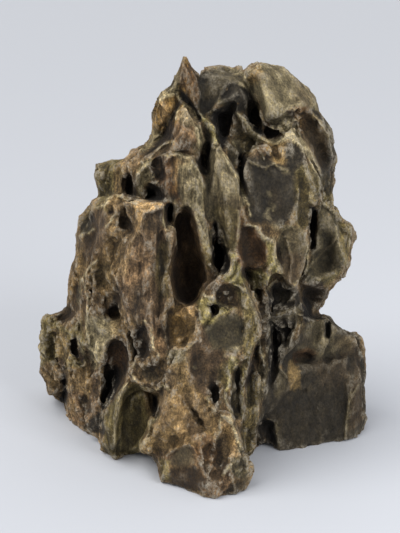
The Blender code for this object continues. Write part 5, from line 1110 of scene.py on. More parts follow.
    # Painted light on the right wall of the ochre cup.
    ("sand", 0.9, 2, [(-16, -26), (-5, -27), (-3, -36), (-8, -40), (-13, -36)]),
    ("sand", 0.7, 1.2, [(-14, -25), (-4, -26), (0, -30), (-4, -33), (-10, -30)]),
    ("chalk", 0.8, 0.6, [(-20, -54), (-10, -54.5), (-4, -49), (-5, -51.5), (-10, -56), (-20, -56)]),
    # below the cup
    ("ash", 0.9, 2, [(-22, -55), (-10, -55), (-8, -62), (-16, -66), (-22, -62)]),
    ("tan", 0.8, 2, [(-18, -62), (-8, -60), (-5, -80), (-14, -84), (-18, -80), (-14, -72)]),
    ("honey", 0.6, 1.5, [(-15, -64), (-10, -62), (-9, -78), (-14, -80)]),
    # apron's slate and its plum ground
    ("plum", 1, 2, [(-8, -56), (-3, -48), (0, -38), (8, -40), (16, -56), (20, -60), (12, -66), (6, -70),
                    (6, -86), (0, -84), (-6, -72)]),
    ("stone", 1, 2, [(2, -38), (8, -33), (24, -29), (30, -36), (30, -50), (24, -57), (8, -54), (4, -46)]),
    ("slate", 0.5, 4, [(8, -38), (22, -36), (24, -48), (10, -50)]),
    ("dusk", 0.6, 3, [(-4, -58), (6, -60), (4, -76), (-4, -70)]),
    ("moss", 0.9, 1.5, [(-2, -22), (4, -19), (10, -21), (16, -26), (24, -27), (12, -33), (8, -37),
                        (1, -38), (-1, -31)]),
    ("umber", 0.9, 0.5, [(-3.5, -29), (0, -29), (1, -33), (-1, -37), (-3, -34)]),
    ("black", 1, 0.5, [(5.3, -25), (8, -23.5), (11.5, -25), (11.8, -28), (9.5, -32.5), (7.5, -33.5),
                       (6, -30)]),
    ("moss", 1, 1, [(18, 9), (24, 8.5), (28, 3), (27, -3), (30, -9), (25, -14), (20, -11), (14, -9),
                    (15, -7), (19, -4.5), (21, 1), (20, 5)]),
    ("olive", 0.8, 1, [(20, 6), (24, 5), (25, 1), (22, 0)]),
    ("earth", 1, 1.5, [(9, -13), (14, -11), (20, -13), (24, -17), (22, -25), (16, -26), (10, -21)]),
    ("umber", 0.7, 2, [(2, -12), (12, -11), (12, -18), (5, -18)]),
    ("fern", 0.9, 1.2, [(23, -15), (29, -12), (34, -22), (38.5, -36), (38, -47), (31, -61), (28, -56),
                        (29, -40), (27, -26)]),
    # Pale right rim of the rib: partly crust, partly a painted highlight.
    ("ash", 0.8, 0.6, [(29, -12), (33, -18), (38.5, -34), (38.5, -46), (36.5, -38), (33, -25)]),
    ("grey", 0.5, 2, [(24, -18), (29, -20), (30, -32), (27, -32)]),
    # apron slot, ochre ridge and green flute
    ("umber", 1, 1, [(6, -68), (10, -66), (12, -72), (12.5, -82), (12, -92), (8, -90), (5.5, -82)]),
    ("olive", 1, 1, [(11, -66), (19, -60), (23, -60), (18.5, -70), (19, -78), (16, -84), (20, -95),
                     (14, -92), (11.5, -84)]),
    ("earth", 0.8, 1.5, [(10.5, -76), (15, -76), (16, -88), (12, -90)]),
    ("moss", 0.9, 0.8, [(20, -57), (25, -61), (20, -70), (20.5, -77), (17, -81), (16.5, -79),
                        (18.5, -74), (17.5, -70), (19, -64)]),
    ("bog", 1, 1, [(22, -66), (28, -63), (28, -80), (27, -99), (20, -100), (18.5, -88), (20.5, -76)]),
    ("fern", 0.9, 0.8, [(28, -62), (31, -60), (30, -74), (28.5, -86), (29, -98), (26.5, -99), (27, -80)]),
    ("blush", 0.7, 1.5, [(14, -88), (19, -88), (21, -97), (15, -97)]),
    # rear ribs
    ("grey", 0.9, 1.2, [(38, -46), (42, -57), (45, -66), (44, -78), (40, -90), (37, -106), (32, -84),
                        (37, -68), (40, -62)]),
    ("olive", 0.95, 2, [(31, -66), (36, -66), (39, -84), (38, -100), (35, -122), (30, -126), (26, -118),
                        (28, -98), (29, -82)]),
    ("umber", 1, 0.8, [(36, -52), (38.3, -49), (37.5, -60), (33, -74), (29, -82), (28, -78), (32, -64)]),
    ("pale", 0.8, 0.6, [(37, -46), (39, -50), (42, -60), (41, -62), (38.5, -54)]),
    ("slate", 0.7, 1.2, [(41, -20), (44, -12), (46, -26), (46, -44), (43, -62), (41, -46), (38, -32)]),
    ("pale", 0.7, 0.6, [(34, -12), (36, -14), (36, -22), (34.5, -22)]),
    ("clay", 0.7, 1, [(38, -86), (43, -88), (43, -98), (38, -101)]),
    # brown cup
    ("rust", 1, 1.2, [(25, 39), (29, 29), (37, 27), (41, 20), (44, 12), (42, 2), (36, -2), (28, -2),
                      (24, 5), (23, 18)]),
    ("earth", 0.7, 2.5, [(25, 36), (28, 28), (26, 14), (30, -2), (38, 0), (34, 10), (32, 20)]),
    ("clay", 0.8, 1, [(26, 27), (33, 28.5), (42, 29), (50, 27), (44, 24), (37, 24), (31, 26)]),
    ("ash", 0.85, 0.8, [(36, 26), (41, 21), (46, 19), (49, 20), (49.5, 16), (45, 15), (41, 16)]),
    ("moss", 0.9, 1.2, [(42, 17), (48, 16), (50, 6), (53, -3), (47, -6), (43, 0), (44, 8)]),
    ("moss", 1, 1.5, [(31, -3), (38, -2), (46, -5), (48, -8), (41, -14), (35, -15), (33, -10)]),
    ("umber", 1, 0.8, [(26, -2), (29, 0), (32, -3), (33, -8), (30, -9), (27, -5)]),
    # second face
    ("grey", 0.9, 1.2, [(50, 17), (54, 27), (60, 28), (68, 24), (71.5, 10), (70.5, 0), (64, -8),
                        (58.5, -17), (53, -8), (52, 0)]),
    ("plum", 0.6, 3, [(54, 10), (64, 10), (70, 4), (64, -8), (58, -16), (54, -6)]),
    ("pale", 0.5, 1.2, [(44, 28), (58, 27), (62, 30), (60, 24), (48, 23)]),
    ("pale", 0.6, 0.7, [(70, 20), (71.5, 12), (70.5, 2), (70, 10)]),
    ("umber", 0.9, 0.7, [(49.5, 14), (52, 13), (54, 3), (52.5, -1), (50.5, 3)]),
    ("black", 1, 0.8, [(71, 39), (74, 40), (76, 36), (76.5, 26), (75, 13), (72, 8), (70.5, 20)]),
    ("bog", 0.7, 1.5, [(72, 26), (77, 26), (76, 12), (72, 8)]),
    # bulge
    ("stone", 1, 1.2, [(76, 41), (84, 38), (92, 30), (91, 16), (95, 2), (88, -7), (80, -11), (68, -11),
                       (66, -8), (71, 3), (72, 14), (76, 24)]),
    ("grey", 0.5, 3, [(78, 36), (86, 34), (88, 22), (80, 20)]),
    ("fern", 0.9, 1.2, [(90, 29), (99, 28), (98, 12), (96, 0), (92, 2), (89.5, 10), (91, 20)]),
    ("bog", 0.7, 1, [(93, 26), (97, 22), (96, 8), (94, 12)]),
    ("fern", 0.8, 1.5, [(78, -8), (90, -3), (95, 1), (88, -9), (82, -14)]),
    ("dusk", 1, 1.2, [(66, -12), (80, -11), (84, -18), (76, -28), (68, -24)]),
    ("black", 1, 1, [(66, -20), (70, -20), (74, -28), (74, -36), (68, -37), (65.5, -28)]),
    # neck
    ("slate", 1, 1.2, [(46, -12), (54, -10), (64, -14), (66, -24), (62, -40), (58, -62), (54, -66),
                       (44, -50), (42, -30)]),
    ("stone", 0.6, 2, [(50, -16), (62, -14), (63, -24), (50, -24)]),
    ("grey", 0.7, 1, [(42, -33), (50, -31), (61, -27), (65, -28), (62, -34), (54, -35), (46, -37)]),
    ("pale", 0.5, 0.8, [(61, -27), (65, -24), (66, -34), (68, -38), (64, -40), (63, -34)]),
    ("black", 1, 1, [(44, -22), (49, -21), (48, -30), (44.5, -31)]),
    ("black", 1, 1, [(45, -38), (52, -38), (53, -50), (52, -62), (49, -76), (46, -84), (41.5, -84),
                     (44, -70), (43.5, -56)]),
    # block
    ("slate", 1, 1, [(38, -101), (42, -84), (48, -66), (54, -66), (60, -50), (68, -40), (74, -31),
                     (84, -31), (104, -46), (110, -80), (108, -110), (80, -120), (48, -124)]),
    ("night", 0.5, 5, [(54, -96), (66, -80), (92, -84), (94, -110), (66, -116), (52, -116)]),
    ("dusk", 0.45, 5, [(72, -62), (92, -54), (100, -64), (98, -80), (80, -78)]),
    ("grey", 0.8, 2.5, [(66, -40), (74, -34), (84, -34), (90, -42), (86, -52), (74, -52)]),
    ("ash", 0.4, 1.5, [(72, -36), (79, -34), (79, -46), (74, -48)]),
    ("black", 0.9, 0.8, [(80.5, -35), (84, -34), (86, -41), (85, -48), (81, -46)]),
    ("clay", 0.5, 3, [(86, -48), (94, -45), (102, -48), (102, -58), (90, -60)]),
    ("stone", 0.6, 3, [(60, -52), (76, -50), (82, -58), (66, -60)]),
    ("rust", 0.8, 1.2, [(60, -56), (70, -52.5), (76, -57), (69, -61), (61, -63)]),
    ("bog", 0.7, 1, [(62, -60), (70, -57), (70, -62), (64, -64)]),
    ("honey", 0.9, 0.8, [(57.5, -61), (60.5, -61), (65.5, -70), (65, -79), (58.5, -80), (57.5, -70)]),
    ("grey", 0.6, 1.5, [(47, -86), (50, -65), (54, -67), (56, -76), (53, -86)]),
    ("dusk", 0.8, 0.8, [(100, -50), (104, -58), (106, -100), (96, -108), (97, -88), (100, -76)]),
    ("ash", 0.7, 0.5, [(96, -106), (96.3, -92), (98, -82), (97.5, -82), (95.3, -92), (95, -106)]),
    # Painted shadow at the block's lower left corner.
    ("black", 0.9, 1.2, [(37, -102), (48, -101), (50, -121), (36, -116)]),
    ("grey", 0.5, 0.8, [(48, -101), (50.5, -101), (52, -121), (50, -121)]),
    # apron
    ("tan", 1, 1.5, [(-24, -88), (-18, -82), (-6, -80), (2, -82), (10, -96), (10, -112), (0, -120),
                     (-6, -115), (-18, -119), (-30, -122), (-40, -121), (-35, -110), (-33, -100),
                     (-27, -102)]),
    ("sand", 0.65, 3, [(-17, -84), (-8, -82), (-8, -98), (-6, -112), (-14, -117), (-17, -104)]),
    ("plum", 0.6, 2, [(-26, -88), (-19, -88), (-20, -104), (-26, -106)]),
    ("honey", 0.7, 1.5, [(-39, -121), (-34, -110), (-31, -101), (-28, -108), (-29, -121)]),
    ("crust", 0.7, 1.5, [(-12, -83), (-2, -82), (6, -92), (8, -107), (2, -104), (-4, -93)]),
    ("umber", 0.5, 0.6, [(-13, -85), (-10, -86), (0, -97), (6, -106), (4, -107), (-4, -100), (-10, -92)]),
    ("chalk", 0.7, 0.6, [(-34, -101), (-31, -99), (-27, -99), (-31, -103), (-33, -110)]),
    ("plum", 0.8, 2, [(-9, -96), (-2, -100), (4, -110), (2, -116), (-5, -114), (-9, -104)]),
    ("rust", 0.8, 2, [(-4, -116), (6, -108), (12, -116), (13, -130), (2, -130), (-2, -122)]),
    # toe
    ("plum", 1, 1.5, [(0, -126), (14, -128), (22, -134), (20, -146), (8, -154), (-3, -142)]),
    ("blush", 0.5, 1.5, [(12, -136), (20, -138), (18, -146), (12, -144)]),
    ("umber", 0.8, 1, [(11, -110), (15, -112), (16, -126), (21, -126), (16, -134), (10, -128)]),
    ("crust", 1, 1, [(12, -101), (15, -94), (20, -97), (24, -106), (29, -121), (22, -124), (15, -124),
                     (14, -112)]),
    ("ochre", 0.6, 1.5, [(14, -103), (20, -103), (24, -116), (18, -118)]),
    ("ash", 0.9, 0.6, [(13, -97), (19, -97), (22.5, -103), (28.5, -121), (25.5, -122), (20.5, -104),
                       (17, -99), (14, -100)]),
    ("stone", 0.9, 1.5, [(19, -124), (28, -123), (33, -132), (30, -140), (20, -134)]),
    ("pale", 0.7, 0.7, [(22, -133), (26, -132), (28, -135), (24, -137)]),
    ("night", 0.8, 1.5, [(17, -146), (22, -141), (30, -138), (30, -148), (18, -152)]),
    ("plum", 1, 0.8, [(-24, -125), (-14, -118), (-8, -115.5), (-5, -118), (-4, -128), (-9, -130.5),
                      (-19, -130)]),
    ("grey", 0.4, 2, [(-16, -121), (-8, -117), (-7, -127), (-14, -127)]),
    # Painted shade on the underside of the toe.
    ("umber", 0.95, 0.8, [(-19.5, -131), (-9, -131), (-4, -129), (1, -136), (6, -144), (-6, -147),
                          (-20, -142)]),
    ("dusk", 0.5, 1.5, [(-16, -132), (-6, -131), (0, -138), (-12, -138)]),
    ("blush", 0.8, 0.6, [(-5.5, -118), (-4, -117), (-1.5, -127), (5, -137), (2, -138), (-3.5, -128)]),
    ("fern", 0.9, 0.8, [(-27, -124), (-20.5, -126), (-19, -139), (-25, -140)]),
    ("blush", 0.6, 1.2, [(-32, -120), (-24, -120), (-22, -125), (-27, -126)]),
    # second coats over what is already down
    ("earth", 0.6, 2, CHEEK_SIDE),
    ("rust", 0.6, 1.5, HORN_FLANK),
    ("stone", 0.55, 2, MIDDLE_DOME),
    ("night", 0.4, 2, [(33, 68), (46, 66), (58, 60), (61, 40), (58, 30), (50, 26), (38, 27), (33, 40)]),
    ("ash", 0.4, 1, [(-20, -127), (-15, -119), (-8, -116), (-5, -119), (-4, -127), (-10, -130),
                     (-18, -130)]),
    # Painted shade under the toe, a second coat.
    ("umber", 0.75, 1, TOE_PAINTED_SHADE),
    ("clay", 0.5, 2, [(62, 102), (70, 103), (76, 96), (82, 88), (84, 74), (78, 64), (72, 74), (66, 84),
                      (64, 92)]),
    # Painted light on the block's top.
    ("ash", 0.35, 3, [(74, -44), (98, -46), (100, -56), (76, -60)]),
    ("stone", 0.5, 2, BULGE_FACE),
    ("umber", 0.35, 3, [(-28, 66), (-20, 70), (-4, 60), (-2, 44), (-12, 38), (-24, 48)]),
    ("black", 0.9, 1, [(-58, -64), (-53, -64), (-52, -76), (-58, -88), (-64, -94), (-64, -88),
                       (-62, -74)]),
    ("earth", 0.3, 3, [(8, 46), (26, 46), (26, 30), (20, 12), (12, 28)]),
    ("rust", 0.8, 2, [(-62, -60), (-58, -52), (-52, -49), (-47, -55), (-49, -66), (-53, -66),
                      (-58, -66)]),
    ("ochre", 0.9, 2, [(-20, -32), (-8, -30), (-5, -38), (-6, -48), (-12, -52), (-19, -50)]),
    ("umber", 0.4, 1.5, HORN_FLANK),
    ("slate", 0.5, 2, MIDDLE_DOME),
    ("umber", 0.5, 2, [(16, 98), (24, 99), (30, 92), (34, 84), (28, 80), (18, 82), (14, 90)]),
    # Painted shade under the toe, a third coat.
    ("umber", 0.5, 1, TOE_PAINTED_SHADE),
    ("rust", 0.45, 3, [(-16, 34), (-4, 34), (4, 4), (4, -12), (-4, -24), (-16, -18), (-19, 0)]),
    ("grey", 0.5, 2, BULGE_FACE),
    ("chalk", 0.35, 3, [(-74, -34), (-54, -34), (-52, -44), (-60, -50), (-62, -60), (-72, -56)]),
    ("umber", 0.35, 2, CHEEK_SIDE),
]

# How far in mm a spot looks around for the walls of the hollow it lies in.
HOLLOW_SIGHT = 22.0

# The grounds of the sides that are turned away: tone, strength, size, how far it is drawn out
# upright, from which noise value up, and the seed.
OTHER_GROUNDS = [
    ("slate", 0.9, 34, 1.8, 0.08, 41),
    ("grey", 0.8, 22, 2.0, 0.12, 42),
    ("tan", 0.8, 15, 3.0, 0.10, 43),
    ("plum", 0.8, 26, 1.6, 0.14, 44),
    ("fern", 0.7, 18, 2.4, 0.14, 45),
    ("ochre", 0.7, 11, 3.5, 0.20, 46),
    ("crust", 0.7, 9, 1.4, 0.22, 47),
    ("earth", 0.8, 12, 3.0, 0.18, 48),
]

# Small pale spots of scale on the show side, and how far in mm each one reaches.
SPOTS = [
    (44, 50), (45.5, 47), (43, 46), (46, 42), (44, 41), (47.5, 39), (45, 37.5), (48, 34), (43.5, 35),
    (46.5, 31), (42.5, 32.5), (49, 45), (-2.5, -60), (11, -52.5), (19, -54), (2, -66), (13.5, -56),
    (-4, -66), (4, -57), (0.3, -112), (16, -57), (-3, -70), (24, -52), (-61, -86), (46, 44), (47, 36),
    (45, 32),
]
SPOT_REACH = 1.2

# How bright the light on an upright face is, next to the light the tones were named in.
LIGHT_SHARE = np.array((2.1, 2.3, 3.1))

# Over how many neighbours a spot is compared with what is near it, and with what is further off.
NEAR_ROUNDS = 2
WIDE_ROUNDS = 14

# The rays that look for the walls of a hollow: how many each ring has, how far above the skin they
# start in mm, and for each ring how far it leans out, how far it points up, and its first turn.
RAYS_IN_RING = 6
SIGHT_START = 0.4
SIGHT_RINGS = [
    (0.45, 0.9, 0.0),
    (0.87, 0.5, 0.5),
]


def linear(tone):
    """The base colour that looks like a tone in soft light."""
    share = np.array(TONES[tone]) / 255
    return np.where(share > 0.04, ((share + 0.055) / 1.055) ** 2.4, share / 12.92) / LIGHT_SHARE


def blend(colours, tone, share):
    """Lays a tone over colours, as strongly as share says for each."""
    return colours + (linear(tone) - colours) * share[:, None]


def lay_grounds(colours, points, across, up):
    """The grounds of the show side, one over the other, with edges that wander."""
    wander = 2.2 * sampled(points, 9, 3.0, 32) + 1.6 * sampled(points, 3.5, 1.8, 33)
    for tone, strength, soft, outline in GROUNDS:
        part = near_outline(across, up, outline, 2 * soft + 2)
        inside = depth_inside(across[part], up[part], outline) + wander[part] * min(1.0, 0.35 * soft)
        share = strength * fade(inside, -0.6 * soft, 0.7 * soft)
        colours[part] = blend(colours[part], tone, share)


def lay_spots(colours, across, up):
    """Small round spots of chalk."""
    for spot_across, spot_up in SPOTS:
        away = np.hypot(across - spot_across, up - spot_up)
        near = np.flatnonzero(away < SPOT_REACH)
        share = 0.8 * (1 - fade(away[near], 0.3, 1.1))
        colours[near] = blend(colours[near], "chalk", share)


def lay_crests(colours, points, across, up):
    """Pale crust along the thin crests, partly a painted highlight, broken up into short lengths."""
    broken = sampled(points, 2.6, 1.5, 34)
    wander = line_wander(points)
    for tone, lines in THIN_CRESTS.items():
        for line in lines:
            part = near_outline(across, up, line, 1.5)
            for start, end in zip(line, line[1:]):
                away = -depth_inside(across[part] + wander[part], up[part], [start, end])
                share = 0.85 * (1 - fade(np.abs(away), 0.3, 1.3)) * fade(broken[part], -0.35, 0.1)
                colours[part] = blend(colours[part], tone, share)


def other_sides(points):
    """Bands and blotches of the same grounds, for the sides that are turned away."""
    colours = np.tile(linear("clay"), (len(points), 1))
    for tone, strength, size, stretch, low, seed in OTHER_GROUNDS:
        share = strength * fade(sampled(points, size, stretch, seed), low, low + 0.16)
        colours = blend(colours, tone, share)
    return colours


def paint_minerals(obj):
    """Lays the grounds down as a colour for each spot of the surface."""
    points = points_of(obj)
    across, up, rays, far = on_sheet(points)
    front = np.tile(linear("clay"), (len(points), 1))
    lay_grounds(front, points, across, up)
    lay_spots(front, across, up)
    lay_crests(front, points, across, up)
    shown = fade(-(normals_of(obj) * rays).sum(axis=1), -0.25, 0.2)
    colours = other_sides(points)
    colours = colours + (front - colours) * shown[:, None]
    layer = obj.data.attributes.new("mineral", "FLOAT_COLOR", "POINT")
    layer.data.foreach_set("color", np.hstack([colours, np.ones((len(points), 1))]).ravel())


def sight_rays():
    """Rays that fan out in rings around Z."""
    rays = []
    for aside, ahead, first in SIGHT_RINGS:
        for k in range(RAYS_IN_RING):
            turn = first + k * 2 * math.pi / RAYS_IN_RING
            rays.append(Vector((math.cos(turn) * aside, math.sin(turn) * aside, ahead)))
    return rays


def covered_share(obj, points, normals):
    """Which share of the rays from each spot meets the stone again nearby."""
    tree = surface_tree(obj)
    rays = sight_rays()
    covered = np.zeros(len(points))
    for i, (point, normal) in enumerate(zip(points, normals)):
        outward = Vector(normal)
        turn = outward.to_track_quat("Z", "Y")
        start = Vector(point) * MM + outward * SIGHT_START * MM
        hits = sum(tree.ray_cast(start, turn @ ray, HOLLOW_SIGHT * MM)[3] is not None for ray in rays)
        covered[i] = hits / len(rays)
    return covered


def mark_relief(obj):
    """Keeps how much each spot stands out as a crest, and how far it is sunk in a hollow."""
    points = points_of(obj)
    normals = normals_of(obj)
    edges = edges_of(obj)
    fine = np.zeros(len(points))
    wide = np.zeros(len(points))
    for k in range(3):
        near = spread(points[:, k], edges, NEAR_ROUNDS)
        fine += (points[:, k] - near) * normals[:, k]
        wide += (near - spread(near, edges, WIDE_ROUNDS)) * normals[:, k]
    fine = spread(fine, edges, 1)
    store(obj, "crest", fade(fine, 0.08, 0.3))
    # The material lightens crests and darkens creases by relief: a painted highlight and painted shade.
    store(obj, "relief", 0.7 * np.tanh(fine / 0.2) + 0.3 * np.tanh(wide / 1.3))
    # The material darkens each spot by hollow, the share of rays that meet the stone again: painted
    # shade, with dirt mixed in where it is deepest.
    store(obj, "hollow", spread(covered_share(obj, points, normals), edges, 2))


# Pale dust on the crests, partly a painted highlight, and dark dirt in the hollows, partly painted shade.
DUST_AND_HIGHLIGHT = (0.36, 0.32, 0.25, 1)
DIRT_AND_SHADE = (0.012, 0.009, 0.006, 1)

# How high the grain stands in metres, and how much the stone shines.
GRAIN_HEIGHT = 1.0 * MM
STONE_SHINE = 0.35


def new_group(name, inputs, outputs):
    """A shader group with named sockets, and its two ends."""
    tree = bpy.data.node_groups.new(name, "ShaderNodeTree")
    for label, kind, value in inputs:
        socket = tree.interface.new_socket(label, in_out="INPUT", socket_type="NodeSocket" + kind)
        socket.default_value = value
    for label, kind in outputs:
        tree.interface.new_socket(label, in_out="OUTPUT", socket_type="NodeSocket" + kind)
    return tree, tree.nodes.new("NodeGroupInput"), tree.nodes.new("NodeGroupOutput")


def feed(tree, socket, value):
    """Links a socket to another node's output, or gives it a value of its own."""
    if isinstance(value, bpy.types.NodeSocket):
        tree.links.new(value, socket)
    else:
        socket.default_value = value


def mix_colour(tree, mode, share, first, second):
    node = tree.nodes.new("ShaderNodeMix")
    node.data_type = "RGBA"
    node.blend_type = mode
    feed(tree, node.inputs[0], share)
    feed(tree, node.inputs[6], first)
    feed(tree, node.inputs[7], second)
    return node.outputs[2]


def maths(tree, operation, first, second):
    node = tree.nodes.new("ShaderNodeMath")
    node.operation = operation
    feed(tree, node.inputs[0], first)
    feed(tree, node.inputs[1], second)
    return node.outputs[0]


def vector_maths(tree, operation, first, second, output="Vector"):
    node = tree.nodes.new("ShaderNodeVectorMath")
    node.operation = operation
    feed(tree, node.inputs[0], first)
    feed(tree, node.inputs[1], second)
    return node.outputs[output]


def ranged(tree, value, low, high, to_low=0.0, to_high=1.0):
    """Turns low to high into to_low to to_high, with soft ends."""
    node = tree.nodes.new("ShaderNodeMapRange")
    node.interpolation_type = "SMOOTHSTEP"
    tree.links.new(value, node.inputs["Value"])
    for key, number in (("From Min", low), ("From Max", high), ("To Min", to_low), ("To Max", to_high)):
        node.inputs[key].default_value = number
    return node.outputs["Result"]


def stone_space(tree, size, stretch):
    """The stone's own space, with size millimetres as its unit, and drawn out upright by stretch."""
    place = tree.nodes.new("ShaderNodeTexCoord")
    mapping = tree.nodes.new("ShaderNodeMapping")
    mapping.inputs["Scale"].default_value = (1 / (size * MM), 1 / (size * MM), 1 / (size * stretch * MM))
    tree.links.new(place.outputs["Object"], mapping.inputs["Vector"])
    return mapping.outputs["Vector"]


def stone_noise(tree, size, stretch, detail, roughness=0.6):
    """Noise from about 0.2 to 0.8, in blots of about size millimetres."""
    texture = tree.nodes.new("ShaderNodeTexNoise")
    texture.inputs["Scale"].default_value = 1.0
    texture.inputs["Detail"].default_value = detail
    texture.inputs["Roughness"].default_value = roughness
    tree.links.new(stone_space(tree, size, stretch), texture.inputs["Vector"])
    return texture.outputs["Fac"]


def chips(tree, size, stretch):
    """A height of small tilted faces that meet in crisp edges, between about -0.4 and 0.4."""
    space = stone_space(tree, size, stretch)
    waves = tree.nodes.new("ShaderNodeTexNoise")
    waves.inputs["Scale"].default_value = 1.7
    tree.links.new(space, waves.inputs["Vector"])
    spot = vector_maths(tree, "ADD", space, waves.outputs["Color"])
    texture = tree.nodes.new("ShaderNodeTexVoronoi")
    texture.inputs["Scale"].default_value = 1.0
    tree.links.new(spot, texture.inputs["Vector"])
    offset = vector_maths(tree, "SUBTRACT", spot, texture.outputs["Position"])
    tilt = vector_maths(tree, "SUBTRACT", texture.outputs["Color"], (0.5, 0.5, 0.5))
    return vector_maths(tree, "DOT_PRODUCT", offset, tilt, "Value")


def shaded(tree, colour, tone):
    """A colour made lighter or darker. One step of tone doubles it."""
    value = maths(tree, "POWER", 2.0, tone)
    grey = tree.nodes.new("ShaderNodeCombineColor")
    for socket in grey.inputs[:3]:
        tree.links.new(value, socket)
    return mix_colour(tree, "MULTIPLY", 1.0, colour, grey.outputs["Color"])


def grain_group():
    """Upright streaks, blotches, specks, pale flecks, dark pores and chips: a colour and a height."""
    tree, inside, outside = new_group(
        "Stone grain",
        [("Colour", "Color", (0.5, 0.5, 0.5, 1)), ("Streak", "Float", 0.0), ("Rough", "Float", 1.0)],
        [("Colour", "Color"), ("Height", "Float")])
    streaks = stone_noise(tree, size=2.0, stretch=7.0, detail=5)
    blotches = stone_noise(tree, size=6.0, stretch=1.5, detail=8, roughness=0.7)
    specks = stone_noise(tree, size=1.2, stretch=1.3, detail=3, roughness=0.7)
    flecks = ranged(tree, stone_noise(tree, size=1.7, stretch=1.1, detail=4, roughness=0.8), 0.56, 0.68)
    pores = ranged(tree, stone_noise(tree, size=1.9, stretch=1.4, detail=4, roughness=0.8), 0.58, 0.7)
    drawn = maths(tree, "ADD", maths(tree, "MULTIPLY", inside.outputs["Streak"], 0.8), 0.15)
    speckled = maths(tree, "ADD", maths(tree, "MULTIPLY", inside.outputs["Rough"], 0.35), 0.65)
    tone = maths(tree, "MULTIPLY", ranged(tree, streaks, 0.3, 0.7, -1.1, 1.1), drawn)
    tones = [
        ranged(tree, blotches, 0.3, 0.7, -0.8, 0.8),
        ranged(tree, specks, 0.3, 0.7, -0.95, 0.95),
        maths(tree, "MULTIPLY", flecks, 0.7),
        maths(tree, "MULTIPLY", pores, -1.0),
    ]
    for change in tones:
        tone = maths(tree, "ADD", tone, maths(tree, "MULTIPLY", change, speckled))
    tree.links.new(shaded(tree, inside.outputs["Colour"], tone), outside.inputs["Colour"])
    height = maths(tree, "MULTIPLY", streaks, drawn)
    heights = [
        (blotches, 0.7),
        (specks, 0.8),
        (flecks, 0.25),
        (pores, -0.5),
        (chips(tree, size=6.0, stretch=1.8), 2.4),
        (chips(tree, size=2.6, stretch=1.6), 1.1),
    ]
    for part, share in heights:
        height = maths(tree, "ADD", height, maths(tree, "MULTIPLY", part, share))
    tree.links.new(height, outside.inputs["Height"])
    return tree


def dust_dirt_and_painted_light_group():
    """Crests lighter and creases darker by relief, and spots darker the more hidden they are: painted
    highlight and painted shade. Over that, pale dust on crests, partly a painted highlight, and dark dirt
    in hollows, partly painted shade.
    """
    tree, inside, outside = new_group(
        "Crest dust, dirt and painted light",
        [("Colour", "Color", (0.5, 0.5, 0.5, 1)), ("Relief", "Float", 0.0), ("Crest", "Float", 0.0),
         ("Hollow", "Float", 0.0), ("Dust and highlight", "Color", DUST_AND_HIGHLIGHT), ("Dirt and shade", "Color", DIRT_AND_SHADE)],
        [("Colour", "Color")])
    # Painted shade: darker the more a spot is hidden, a little lighter where it lies open.
    painted_light_and_shade_by_hollowness = ranged(tree, inside.outputs["Hollow"], 0.0, 0.9, 0.25, -0.3)
    # Relief adds a painted highlight on crests and painted shade in creases.
    painted_light_and_shade = maths(tree, "ADD", inside.outputs["Relief"], painted_light_and_shade_by_hollowness)
    colour = shaded(tree, inside.outputs["Colour"], painted_light_and_shade)
    broken = stone_noise(tree, size=1.8, stretch=1.4, detail=5, roughness=0.7)
    # Pale dust on the crests, broken up: partly real crust, partly a painted highlight.
    dust_and_highlight = maths(tree, "MULTIPLY", inside.outputs["Crest"], ranged(tree, broken, 0.4, 0.6, 0.0, 0.8))
    colour = mix_colour(tree, "MIX", dust_and_highlight, colour, inside.outputs["Dust and highlight"])
    # Near-black dirt in the most hidden spots: partly dirt, partly painted shade.
    dirt_and_shade = ranged(tree, inside.outputs["Hollow"], 0.5, 1.0, 0.0, 0.25)
    colour = mix_colour(tree, "MIX", dirt_and_shade, colour, inside.outputs["Dirt and shade"])
    tree.links.new(colour, outside.inputs["Colour"])
    return tree


def attribute(tree, name, output="Fac"):
    """What is kept on the mesh under a name."""
    node = tree.nodes.new("ShaderNodeAttribute")
    node.attribute_name = name
    return node.outputs[output]


